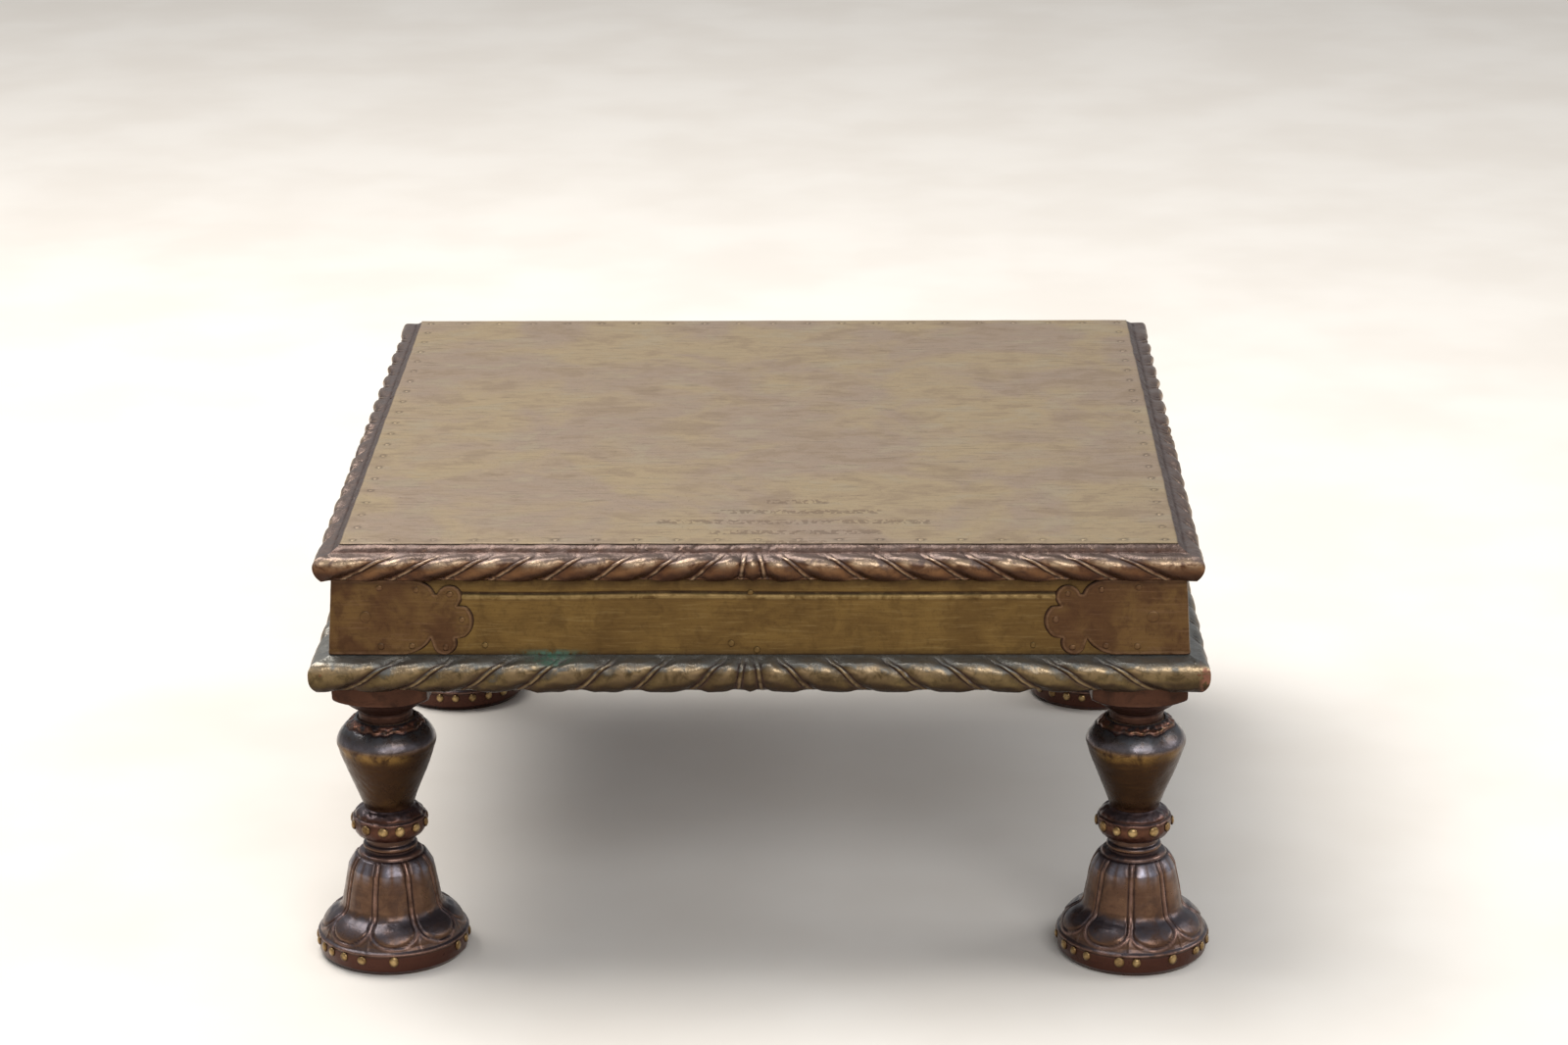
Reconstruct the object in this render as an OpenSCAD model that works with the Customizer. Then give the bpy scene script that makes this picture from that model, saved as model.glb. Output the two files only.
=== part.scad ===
// Low square table: planks, rails and turned legs of wood, clad in nailed brass sheet.
// It stands on Z = 0 with its middle at X = Y = 0, and its front faces -Y.
// Sides count 0 front, 1 right, 2 back, 3 left. Corner k is the left end of side k.

/* [Table] */
// Height from the floor to the top of the brass top sheet
table_h = 258; // [252:1:290]
// Width of the brass top sheet
top_w = 475.6; // [468:0.2:477]
// Width of the frame over its brass sheets, at the bottom of the frieze
frame_w = 490; // [488:1:492]
// Thickness of every brass sheet
sheet_t = 0.8; // [0.6:0.1:1.0]

/* [Frame] */
// Thickness of the top planks
plank_t = 18.2; // [16:0.1:20]
// Number of planks in the top
plank_count = 3; // [3:1:3]
// Height of the plain frieze between the two mouldings
frieze_h = 45.5; // [45:0.1:47]
// Height of the frame behind the lower moulding
band_h = 19.7; // [18:0.1:21]
// How far each side of the frieze leans in towards its top
batter = 2.6; // [0:0.1:4]
// Thickness of the side rails
rail_t = 22; // [20:1:25]
// Thickness of the rail tenons
tenon_t = 10; // [8:1:12]
// Length of the rail tenons
tenon_len = 24; // [18:1:26]
// Radius of the wooden pegs
peg_r = 3; // [2.5:0.1:3.5]

/* [Mouldings] */
// Width of the table over the upper moulding
upper_w = 504; // [502:1:510]
// Width of the table over the lower moulding
lower_w = 513; // [511:1:518]

/* [Legs] */
// Width of the square block at the top of each leg
block_w = 55; // [52:1:58]
// Radius of the foot at its widest
foot_r = 44; // [42:0.1:45]
// Radius of the vase at its shoulder
vase_r = 29; // [27:0.1:31]
// Radius of the ring below the vase
ring_r = 21.8; // [20:0.1:23]

/* [Nails] */
// Radius of every nail shank
shank_r = 0.7; // [0.5:0.1:0.9]
// Nails along each side of the top sheet
top_nail_count = 21; // [15:1:25]
// Radius of the stud heads on the feet
foot_stud_r = 2.5; // [2:0.1:3]
// Radius of the stud heads on the leg rings
ring_stud_r = 2.8; // [2:0.1:3.2]

/* [Hidden] */
$fn = 96;

// Colours
wood_colour = [0.36, 0.23, 0.13];
top_colour = [0.65, 0.58, 0.47];
frieze_colour = [0.42, 0.34, 0.18];
plate_colour = [0.36, 0.26, 0.18];
upper_colour = [0.45, 0.30, 0.20];
lower_colour = [0.40, 0.36, 0.24];
leg_colour = [0.38, 0.31, 0.18];
nail_colour = [0.72, 0.60, 0.35];

// Levels, from the top down
sheet_z = table_h - sheet_t;
frame_top_z = sheet_z - plank_t;
frieze_z = frame_top_z - frieze_h;
frame_z = frieze_z - band_h;

// Half widths, from the middle out
top_half = top_w / 2;
sheet_lip = 0.5;
plank_half = top_half - sheet_lip;
frame_half = frame_w / 2 - sheet_t;
block_half = block_w / 2;
core_half = block_half - sheet_t;
leg_x = frame_half - core_half;
post_in = leg_x - core_half;
reach = 300;

// Rail joints
tenon_setback = 6;
tenon_in = frame_half - rail_t + tenon_setback;
tenon_h = 40;
tenon_z = frame_z + 10;
peg_x = post_in + tenon_len / 2;
peg_len = 50;
plank_peg_len = 40;
plank_peg_xs = [-130, 0, 130];

// Points on a quadratic curve from a to c, pulled towards b
function curve(a, b, c, n = 6) =
    [for (i = [0:n]) let (t = i / n) (1 - t) * (1 - t) * a + 2 * t * (1 - t) * b + t * t * c];
// Points on an elliptical arc
function arc(c, rx, ry, from, to, n = 6) =
    [for (i = [0:n]) let (t = from + (to - from) * i / n) [c.x + rx * cos(t), c.y + ry * sin(t)]];
// Points that fall from a nose and turn in to a toe, more sharply the higher the power
function belly(nose, toe, power, n = 5) =
    [for (i = [1:n]) let (t = i / n)
        [nose.x - (nose.x - toe.x) * pow(t, power), nose.y + (toe.y - nose.y) * t]];
function reversed(p) = [for (i = [len(p) - 1:-1:0]) p[i]];
function unit(v) = v / norm(v);
// Direction along an outline at its point i
function along(p, i) = unit(p[min(i + 1, len(p) - 1)] - p[max(i - 1, 0)]);
// The same outline moved in by t, for one that runs downwards with its solid on the left
function inset(p, t) =
    [for (i = [0:len(p) - 1]) let (d = along(p, i)) p[i] + t * [d.y, -d.x]];

// Moulding outlines as [distance from the middle, height], from the top edge to the bottom
upper_half = upper_w / 2;
upper_toe_z = frame_top_z - sheet_t;
upper_nose = [upper_half, sheet_z - 9.2];
upper_crown = [upper_half - 5, sheet_z - 4];
upper_bend = [upper_half - 9.5, sheet_z - 3.4];
frieze_top_half = frame_w / 2 - batter;
upper_outline = concat(
    [[plank_half, sheet_z]],
    curve(upper_bend, [upper_half - 8, sheet_z - 4.2], upper_crown, 3),
    arc([upper_crown.x, upper_nose.y], 5, 5.2, 75, 0, 5),
    belly(upper_nose, [upper_half - 4.2, upper_toe_z], 2),
    [[frieze_top_half + 0.05, upper_toe_z]]
);
lower_half = lower_w / 2;
lower_toe_z = frame_z - sheet_t;
lower_nose = [lower_half, frieze_z - 8.5];
lower_crown = [lower_half - 5.5, frieze_z - 1.9];
lower_outline = concat(
    [[frame_half, frieze_z], [frame_half + 3.5, frieze_z - 1.2]],
    arc([lower_crown.x, lower_nose.y], 5.5, 6.6, 90, 0, 6),
    belly(lower_nose, [lower_half - 4.5, lower_toe_z], 3),
    [[frame_half, lower_toe_z]]
);

// Leg outlines as [radius, height], from the top down
pommel_top = [41, 174.5];
neck_r = 15.8;
neck_end_z = 146;
vase_end = [14.4, 91];
ring_z = 81.3;
ring_end = [13.8, 71.6];
foot_end = [41.4, 0.8];
pommel_outline = concat(
    [pommel_top],
    curve([41, 169.5], [38, 163], [27.6, 161], 6),
    curve([26, 159.8], [23, 155.6], [17.4, 153], 7),
    [[neck_r, 151.4], [neck_r, neck_end_z]]
);
vase_outline = concat(
    [[16.8, neck_end_z]],
    curve([17.6, 145.8], [27, 139.6], [vase_r - 0.1, 133], 7),
    curve([vase_r, 131.8], [vase_r, 130.4], [vase_r - 0.7, 128.8], 3),
    curve([vase_r - 1.2, 127], [vase_r - 2.6, 121.5], [21.3, 109.4], 5),
    curve([20.3, 107], [17.2, 99.5], [vase_end.x + 0.3, vase_end.y + 1.6], 4),
    [vase_end]
);
ring_outline = concat(
    [vase_end],
    arc([ring_r - 7.3, ring_z], 7.3, 9, 82, -82, 14),
    [ring_end]
);
bell_outline = concat(
    [ring_end, [ring_end.x, 69.6]],
    arc([ring_end.x - 0.2, 66.8], 2.4, 2, 75, -60, 5),
    curve([15.6, 64], [20.6, 62.6], [24.4, 54.4], 5),
    curve([24.8, 52], [26.6, 43], [28.2, 34], 4),
    curve([28.3, 33], [28.9, 28.8], [33, 26.6], 4),
    curve([34, 26], [40, 22], [foot_r - 2.4, 16.8], 4),
    arc([foot_r - 1.9, 13], 1.9, 2, 70, 0, 3),
    [[foot_r, 7.5], [foot_r - 0.5, 3.2], foot_end]
);

// Corner plate outline as [distance from the corner, height above the frieze's bottom]
plate_gap = 0.1;
plate_h = frieze_h - sheet_t - 2 * plate_gap;
plate_scale = plate_h / 44.5;
plate_lap = 6;
plate_outline = concat(
    [[-plate_lap, 44.5]],
    curve([44, 44.5], [56, 44.4], [59.6, 35.8], 5),
    arc([68, 34], 7, 7, 165, -45, 10),
    arc([70.5, 19.5], 11.5, 11.5, 52, -54, 8),
    arc([66.5, 6.7], 6.7, 6.7, 25, -150, 8),
    curve([58.4, 9.6], [55, 2], [44, 0], 5),
    [[-plate_lap, 0]]
);
plate_nail_spots = [
    [29.6, 39.6], [50.5, 38.4], [69.6, 35.9], [76.2, 20.8], [66.6, 4.4], [47.5, 5.3], [29.8, 5]
];
boss_spot = [21.2, 22.5];
frieze_nail_spots = [[-156, 5.5], [-15.5, 6.5], [-1, 2.6], [-4.5, 36.5], [156, 5.5]];

// Nail sizes
nail_head = [2.2, 0.9];
ring_stud_head = [ring_stud_r, 1.6];
foot_stud_head = [foot_stud_r, 1.6];
boss_head = [3.5, 1.1];
small_head = [1.5, 0.6];
nail_len = 7;
stud_len = 6;
boss_len = 9;
top_nail_head_r = 1.9;
top_nail_len = 12;
top_nail_inset = 7;
moulding_nail_spots = [for (i = [-4.5:1:4.5]) i * 42];
lower_nail_x = lower_half - 7;
foot_stud_z = 9.5;
// Places of the hand-set studs round each leg, in degrees; legs 0 and 2 take the first list
ring_stud_turns = [
    [-123, -94, -68, -39, -10, 20, 51, 80, 111, 141, 172, 204],
    [-239, -211, -186, -152, -122, -92, -61, -32, -2, 29, 59, 90]
];
foot_stud_turns = [
    [-150, -139, -125, -109, -84, -26, -11, 4, 19, 33, 49, 64, 78, 93, 109, 124, 138, 153, 168, 183, 196],
    [-247, -234, -220, -193, -180, -151, -126, -116, -102, -87, -72, -56, -28, -13, 1, 16, 31, 47, 61, 76, 91]
];
clear = 1;

module on_side(k) rotate([0, 0, 90 * k]) children();

module at_leg(k) rotate([0, 0, 90 * k]) translate([-leg_x, -leg_x, 0]) children();

// The frame's leaning sides, moved out by e
module frame_envelope(e) {
    low = frame_half + e;
    high = low - batter;
    outline = [
        [-low, 0], [low, 0], [low, frieze_z], [high, frame_top_z], [-high, frame_top_z], [-low, frieze_z]
    ];
    intersection() {
        rotate([90, 0, 0]) linear_extrude(height = 2 * reach, center = true) polygon(outline);
        rotate([90, 0, 90]) linear_extrude(height = 2 * reach, center = true) polygon(outline);
    }
}

// A bar along the front side with mitred ends, from an outline of [distance, height]
module mitred_bar(outline) {
    intersection() {
        rotate([90, 0, -90]) linear_extrude(height = 2 * reach, center = true) polygon(outline);
        linear_extrude(height = table_h) polygon([[0, 0], [-reach, -reach], [reach, -reach]]);
    }
}

module turned(outline)
    rotate_extrude() polygon(concat([[0, outline[0].y]], outline, [[0, outline[len(outline) - 1].y]]));

module square_post(half, z0, z1)
    translate([-half, -half, z0]) cube([2 * half, 2 * half, z1 - z0]);

// A nail or stud whose head sits on z = 0 with a chamfered edge; head is [radius, height]
module nail(head, len) {
    rotate_extrude($fn = 24) polygon([
        [0, -len], [shank_r, -len], [shank_r, 0], [head.x, 0],
        [head.x, 0.4 * head.y], [0.55 * head.x, head.y], [0, head.y]
    ]);
}

module shank_hole(len) translate([0, 0, -len]) cylinder(r = shank_r, h = len + 2 * clear, $fn = 24);

// Stands children on the front face of the frame, at x and a height above the frieze's bottom,
// lifted off the wood by e and square to the leaning face
module on_frieze(x, up, e) {
    lean = atan(batter / frieze_h);
    translate([x, -(frame_half + e - batter * up / frieze_h), frieze_z + up])
        rotate([90 - lean, 0, 0]) children();
}

module at_frieze_nails() for (p = frieze_nail_spots) on_frieze(p.x, p.y, sheet_t) children();

// Both leaves of the plate at corner 0: along side 0, and along side 3
module at_plate_spots(spots) {
    for (p = spots) {
        on_frieze(-frame_w / 2 + p.x, p.y, 2 * sheet_t) children();
        on_side(3) on_frieze(frame_w / 2 - p.x, p.y, 2 * sheet_t) children();
    }
}

module frieze_holes(k) on_side(k) at_frieze_nails() shank_hole(nail_len);

module plate_holes(k) {
    on_side(k) {
        at_plate_spots(plate_nail_spots) shank_hole(nail_len);
        at_plate_spots([boss_spot]) shank_hole(boss_len);
    }
}

module at_top_nails() {
    edge = top_half - top_nail_inset;
    step = 2 * edge / (top_nail_count - 1);
    for (k = [0:3], i = [0:top_nail_count - 2])
        on_side(k) translate([-edge + i * step, -edge, table_h]) children();
}

// Stands children on an outline's segment i, at x along the front side
module on_moulding(outline, i, x) {
    d = unit(outline[i + 1] - outline[i]);
    p = (outline[i] + outline[i + 1]) / 2;
    translate([x, -p.x, p.y]) rotate([atan2(-d.y, d.x), 0, 0]) children();
}

module at_upper_nails() for (x = moulding_nail_spots) on_moulding(upper_outline, 0, x) children();

module at_lower_nails() {
    for (x = [-lower_nail_x, lower_nail_x])
        translate([x, -lower_half, lower_nose.y]) rotate([90, 0, 0]) children();
}

// Stands children outwards around a leg's axis at radius r and height z, one for each turn
module around(turns, r, z)
    for (turn = turns) rotate([0, 0, turn]) translate([r, 0, z]) rotate([0, 90, 0]) children();

module at_ring_studs(k) around(ring_stud_turns[k % 2], ring_r, ring_z) children();

module at_foot_studs(k) around(foot_stud_turns[k % 2], foot_r, foot_stud_z) children();

// The pegs that lock both tenons at corner 0
module tenon_pegs() {
    tip = post_in + peg_len;
    peg_z = tenon_z + tenon_h / 2;
    translate([-peg_x, -tip, peg_z]) rotate([-90, 0, 0]) cylinder(r = peg_r, h = peg_len, $fn = 32);
    translate([-tip, -peg_x, peg_z]) rotate([0, 90, 0]) cylinder(r = peg_r, h = peg_len, $fn = 32);
}

// The pegs that hold the planks down on one rail
module plank_pegs() {
    for (x = plank_peg_xs)
        translate([x, -(frame_half - rail_t / 2 - 1), sheet_z - plank_peg_len])
            cylinder(r = peg_r, h = plank_peg_len, $fn = 32);
}

module top_sheet() {
    color(top_colour) difference() {
        translate([-top_half, -top_half, sheet_z]) cube([top_w, top_w, sheet_t]);
        at_top_nails() translate([0, 0, -clear]) cylinder(r = top_nail_head_r, h = 2 * clear, $fn = 24);
    }
}

// Planks run from left to right and count from the front
module top_plank(i) {
    plank_w = 2 * plank_half / plank_count;
    color(wood_colour) difference() {
        translate([-plank_half, -plank_half + i * plank_w, frame_top_z])
            cube([2 * plank_half, plank_w, plank_t]);
        at_top_nails() shank_hole(top_nail_len);
        for (k = [0:3]) on_side(k) plank_pegs();
    }
}

module apron_rail(k) {
    color(wood_colour) on_side(k) difference() {
        union() {
            intersection() {
                frame_envelope(0);
                translate([-post_in, -reach, frame_z])
                    cube([2 * post_in, reach - frame_half + rail_t, frame_top_z - frame_z]);
            }
            translate([-post_in - tenon_len, -tenon_in - tenon_t, tenon_z])
                cube([2 * (post_in + tenon_len), tenon_t, tenon_h]);
        }
        plank_pegs();
        tenon_pegs();
        mirror([1, 0, 0]) tenon_pegs();
        at_frieze_nails() shank_hole(nail_len);
        plate_holes(0);
        mirror([1, 0, 0]) plate_holes(0);
    }
}

// Leg core: foot, bell, ring and vase turned in one with the square post
module leg_core(k) {
    core_outline = concat(
        [[pommel_top.x, frame_top_z]],
        inset(pommel_outline, sheet_t),
        inset(vase_outline, sheet_t),
        inset(ring_outline, sheet_t),
        inset(bell_outline, sheet_t),
        [[foot_end.x - sheet_t, 0]]
    );
    color(wood_colour) on_side(k) difference() {
        intersection() {
            translate([-leg_x, -leg_x, 0]) turned(core_outline);
            union() {
                translate([-leg_x, -leg_x, 0]) cylinder(r = 2 * foot_r, h = neck_end_z);
                intersection() {
                    frame_envelope(0);
                    translate([-leg_x, -leg_x, 0]) square_post(core_half, neck_end_z - clear, frame_top_z);
                }
            }
        }
        translate([-post_in - tenon_len, -tenon_in - tenon_t, tenon_z])
            cube([tenon_len + clear, tenon_t, tenon_h]);
        translate([-tenon_in - tenon_t, -post_in - tenon_len, tenon_z])
            cube([tenon_t, tenon_len + clear, tenon_h]);
        tenon_pegs();
        plate_holes(0);
        translate([-leg_x, -leg_x, 0]) {
            at_ring_studs(k) shank_hole(stud_len);
            at_foot_studs(k) shank_hole(stud_len);
        }
    }
}

module upper_moulding(k) {
    color(wood_colour) on_side(k) difference() {
        mitred_bar(concat(inside_edge(upper_outline, plank_half), [[plank_half, frame_top_z]]));
        at_upper_nails() shank_hole(nail_len);
    }
}

module lower_moulding(k) {
    color(wood_colour) on_side(k) difference() {
        mitred_bar(inside_edge(lower_outline, frame_half));
        at_lower_nails() shank_hole(nail_len);
    }
}

// The inner face of a moulding's skin, kept clear of the wood behind it
function inside_edge(outline, face) = [for (p = inset(outline, sheet_t)) [max(p.x, face), p.y]];

module upper_skin(k) {
    color(upper_colour) on_side(k) difference() {
        mitred_bar(concat(upper_outline, reversed(inside_edge(upper_outline, plank_half))));
        at_upper_nails() shank_hole(nail_len);
    }
}

module lower_skin(k) {
    color(lower_colour) on_side(k) difference() {
        mitred_bar(concat(lower_outline, reversed(inside_edge(lower_outline, frame_half))));
        at_lower_nails() shank_hole(nail_len);
    }
}

module frieze_sheet(k) {
    color(frieze_colour) on_side(k) difference() {
        mitred_bar([
            [frame_half, frieze_z], [frame_w / 2, frieze_z],
            [frieze_top_half, frame_top_z], [frieze_top_half - sheet_t, frame_top_z]
        ]);
        at_frieze_nails() shank_hole(nail_len);
        plate_holes(0);
        mirror([1, 0, 0]) plate_holes(0);
    }
}

// A leaf's outline carried through the front side of the frame
module leaf_block(leaf) {
    depth = 35;
    translate([0, depth - frame_w / 2, 0]) rotate([90, 0, 0])
        linear_extrude(height = 2 * depth) polygon(leaf);
}

module corner_plate(k) {
    leaf = [for (p = plate_outline) [p.x - frame_w / 2, frieze_z + plate_gap + p.y * plate_scale]];
    color(plate_colour) on_side(k) difference() {
        intersection() {
            frame_envelope(2 * sheet_t);
            union() {
                leaf_block(leaf);
                mirror([1, -1, 0]) leaf_block(leaf);
            }
        }
        frame_envelope(sheet_t);
        plate_holes(0);
    }
}

module block_skin(k) {
    color(leg_colour) at_leg(k) difference() {
        intersection() {
            turned(pommel_outline);
            square_post(block_half, neck_end_z - clear, frame_z);
        }
        intersection() {
            turned(concat(inset(pommel_outline, sheet_t), [[neck_r - sheet_t, neck_end_z - clear]]));
            square_post(core_half, neck_end_z - 2 * clear, frame_z + clear);
        }
    }
}

module turned_skin(outline) rotate_extrude() polygon(concat(outline, reversed(inset(outline, sheet_t))));

module vase_skin(k) color(leg_colour) at_leg(k) turned_skin(vase_outline);

module ring_skin(k) {
    color(leg_colour) at_leg(k) difference() {
        turned_skin(ring_outline);
        at_ring_studs(k) shank_hole(stud_len);
    }
}

module bell_skin(k) {
    color(leg_colour) at_leg(k) difference() {
        turned_skin(bell_outline);
        at_foot_studs(k) shank_hole(stud_len);
    }
}

// Countersunk nails, flush with the top sheet
module top_nails() {
    color(nail_colour) at_top_nails() rotate_extrude($fn = 24) polygon([
        [0, -top_nail_len], [shank_r, -top_nail_len], [shank_r, -sheet_t],
        [top_nail_head_r, -sheet_t], [top_nail_head_r, 0], [0, 0]
    ]);
}

module frieze_nails() {
    color(nail_colour) for (k = [0:3]) on_side(k) at_frieze_nails() nail(nail_head, nail_len);
}

module corner_plate_nails() {
    color(nail_colour) for (k = [0:3]) on_side(k) at_plate_spots(plate_nail_spots) nail(nail_head, nail_len);
}

module corner_bosses() {
    color(nail_colour) for (k = [0:3]) on_side(k) at_plate_spots([boss_spot]) nail(boss_head, boss_len);
}

module moulding_nails() {
    color(nail_colour) for (k = [0:3]) on_side(k) {
        at_upper_nails() nail(small_head, nail_len);
        at_lower_nails() nail(nail_head, nail_len);
    }
}

module ring_studs()
    color(nail_colour) for (k = [0:3]) at_leg(k) at_ring_studs(k) nail(ring_stud_head, stud_len);

module foot_studs()
    color(nail_colour) for (k = [0:3]) at_leg(k) at_foot_studs(k) nail(foot_stud_head, stud_len);

module joinery_pegs() {
    color(wood_colour) for (k = [0:3]) on_side(k) {
        tenon_pegs();
        plank_pegs();
    }
}

top_sheet();
top_plank(0);  // top_plank_front
top_plank(1);  // top_plank_middle
top_plank(2);  // top_plank_back
apron_rail(0);  // apron_rail_front
apron_rail(1);  // apron_rail_right
apron_rail(2);  // apron_rail_back
apron_rail(3);  // apron_rail_left
leg_core(0);  // leg_front_left
leg_core(1);  // leg_front_right
leg_core(2);  // leg_back_right
leg_core(3);  // leg_back_left
upper_moulding(0);  // upper_moulding_front
upper_moulding(1);  // upper_moulding_right
upper_moulding(2);  // upper_moulding_back
upper_moulding(3);  // upper_moulding_left
lower_moulding(0);  // lower_moulding_front
lower_moulding(1);  // lower_moulding_right
lower_moulding(2);  // lower_moulding_back
lower_moulding(3);  // lower_moulding_left
upper_skin(0);  // upper_skin_front
upper_skin(1);  // upper_skin_right
upper_skin(2);  // upper_skin_back
upper_skin(3);  // upper_skin_left
lower_skin(0);  // lower_skin_front
lower_skin(1);  // lower_skin_right
lower_skin(2);  // lower_skin_back
lower_skin(3);  // lower_skin_left
frieze_sheet(0);  // frieze_sheet_front
frieze_sheet(1);  // frieze_sheet_right
frieze_sheet(2);  // frieze_sheet_back
frieze_sheet(3);  // frieze_sheet_left
corner_plate(0);  // corner_plate_front_left
corner_plate(1);  // corner_plate_front_right
corner_plate(2);  // corner_plate_back_right
corner_plate(3);  // corner_plate_back_left
block_skin(0);  // block_skin_front_left
block_skin(1);  // block_skin_front_right
block_skin(2);  // block_skin_back_right
block_skin(3);  // block_skin_back_left
vase_skin(0);  // vase_skin_front_left
vase_skin(1);  // vase_skin_front_right
vase_skin(2);  // vase_skin_back_right
vase_skin(3);  // vase_skin_back_left
ring_skin(0);  // ring_skin_front_left
ring_skin(1);  // ring_skin_front_right
ring_skin(2);  // ring_skin_back_right
ring_skin(3);  // ring_skin_back_left
bell_skin(0);  // bell_skin_front_left
bell_skin(1);  // bell_skin_front_right
bell_skin(2);  // bell_skin_back_right
bell_skin(3);  // bell_skin_back_left
top_nails();
frieze_nails();
corner_plate_nails();
corner_bosses();
moulding_nails();
ring_studs();
foot_studs();
joinery_pegs();
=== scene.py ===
"""The looks of a low brass-clad table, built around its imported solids.

Lengths are millimetres until a mesh is made, Z is up and the front faces -Y.
Sides count 0 front, 1 right, 2 back, 3 left; corner k is the left end of side k.
"""

import math

import bpy
import numpy as np
from mathutils import Matrix, Vector, geometry


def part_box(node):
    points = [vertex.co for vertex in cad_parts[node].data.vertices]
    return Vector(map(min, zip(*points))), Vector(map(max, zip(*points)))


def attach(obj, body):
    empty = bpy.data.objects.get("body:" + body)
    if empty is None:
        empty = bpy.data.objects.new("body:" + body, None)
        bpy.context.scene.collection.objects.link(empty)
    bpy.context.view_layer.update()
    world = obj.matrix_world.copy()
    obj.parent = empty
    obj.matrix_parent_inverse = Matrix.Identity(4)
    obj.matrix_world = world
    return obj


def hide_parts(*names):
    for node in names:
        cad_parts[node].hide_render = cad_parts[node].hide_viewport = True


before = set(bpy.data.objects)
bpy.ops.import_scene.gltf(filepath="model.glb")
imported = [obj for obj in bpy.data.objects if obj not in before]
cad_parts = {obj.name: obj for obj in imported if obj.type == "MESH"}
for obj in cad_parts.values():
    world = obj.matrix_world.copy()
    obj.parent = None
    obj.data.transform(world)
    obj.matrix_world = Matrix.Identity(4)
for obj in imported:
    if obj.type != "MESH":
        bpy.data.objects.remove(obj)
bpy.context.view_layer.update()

MM = 0.001
SIDES = ("front", "right", "back", "left")
CORNERS = ("front_left", "front_right", "back_right", "back_left")


def span(node):
    """A CAD node's lowest and highest corners, in millimetres."""
    low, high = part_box(node)
    return np.array(low) / MM, np.array(high) / MM


# ---- Sizes, read from the frame, with a few given outright ----
sheet_low, sheet_high = span("top_sheet")
TOP_HALF = sheet_high[0]
TOP_Z = sheet_high[2]
SHEET_Z = sheet_low[2]
SHEET_T = TOP_Z - SHEET_Z
PLANK_HALF = span("top_plank_front")[1][0]
FRAME_TOP_Z = span("top_plank_front")[0][2]
UPPER_HALF = -span("upper_skin_front")[0][1]
lower_low = span("lower_skin_front")[0]
LOWER_HALF = -lower_low[1]
frieze_low, frieze_high = span("frieze_sheet_front")
FRIEZE_HALF = -frieze_low[1]
FRIEZE_Z = frieze_low[2]
FRIEZE_H = frieze_high[2] - frieze_low[2]
BATTER = FRIEZE_HALF - SHEET_T + frieze_high[1]
FRAME_HALF = FRIEZE_HALF - SHEET_T
FRAME_Z = lower_low[2] + SHEET_T
block_low, block_high = span("block_skin_front_left")
BLOCK_HALF = (block_high[0] - block_low[0]) / 2
LEG_X = -(block_low[0] + block_high[0]) / 2
vase_low, vase_high = span("vase_skin_front_left")
VASE_R = (vase_high[0] - vase_low[0]) / 2
NECK_END_Z, VASE_END_Z = vase_high[2], vase_low[2]
ring_low, ring_high = span("ring_skin_front_left")
RING_R = (ring_high[0] - ring_low[0]) / 2
RING_END_Z = ring_low[2]
bell_low, bell_high = span("bell_skin_front_left")
FOOT_R = (bell_high[0] - bell_low[0]) / 2
BELL_END_Z = bell_low[2]
NECK_R, VASE_END_R, RING_END_R, FOOT_END_R = 15.8, 14.4, 13.8, 41.4
RING_Z, FOOT_STUD_Z = 81.3, 9.5
PLATE_H = 44.5
STAIN_X = -118
WORN_CORNER_X = (249.5, 253)


# ---- Curves and smooth random functions ----
def curve(a, b, c, n=12):
    """Points on a quadratic curve from a to c, pulled towards b."""
    t = np.linspace(0, 1, n + 1)[:, None]
    return (1 - t) ** 2 * np.array(a) + 2 * t * (1 - t) * np.array(b) + t ** 2 * np.array(c)


def arc(centre, rx, ry, start, stop, n=12):
    """Points on an elliptical arc, between angles in degrees."""
    t = np.radians(np.linspace(start, stop, n + 1))
    return np.stack([centre[0] + rx * np.cos(t), centre[1] + ry * np.sin(t)], 1)


def belly(nose, toe, power, n=12):
    """Points that fall from a nose and turn in to a toe."""
    t = np.linspace(0, 1, n + 1)[1:]
    return np.stack([nose[0] - (nose[0] - toe[0]) * t ** power, nose[1] + (toe[1] - nose[1]) * t], 1)


def resample(points, count):
    """The same path with evenly spaced points."""
    points = np.concatenate([np.atleast_2d(p) for p in points])
    steps = np.linalg.norm(np.diff(points, axis=0), axis=1)
    keep = np.concatenate([[True], steps > 1e-6])
    points = points[keep]
    along = np.concatenate([[0], np.cumsum(np.linalg.norm(np.diff(points, axis=0), axis=1))])
    at = np.linspace(0, along[-1], count)
    return np.stack([np.interp(at, along, points[:, i]) for i in range(2)], 1)


def outward(path):
    """Unit normals of a downward path, pointing away from the middle."""
    d = np.gradient(path, axis=0)
    n = np.stack([-d[:, 1], d[:, 0]], 1)
    return n / np.linalg.norm(n, axis=1)[:, None]


def smooth(x, low, high):
    """0 below low, 1 above high, and an easy slope between."""
    t = np.clip((x - low) / (high - low), 0, 1)
    return t * t * (3 - 2 * t)


def bump(x, centre, width):
    """1 at the centre, falling away on both sides."""
    return np.exp(-(((x - centre) / width) ** 2))


def ripples(points, size, seed, count=20):
    """A smooth random value of each point, about -1 to 1, with features of the given size."""
    rng = np.random.default_rng(seed)
    way = rng.normal(size=(count, 3))
    way *= (2 * math.pi / size * rng.uniform(0.5, 1.5, count) / np.linalg.norm(way, axis=1))[:, None]
    phase = rng.uniform(0, 2 * math.pi, count)
    return np.cos(points @ way.T + phase).sum(-1) / math.sqrt(2 * count)


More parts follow.
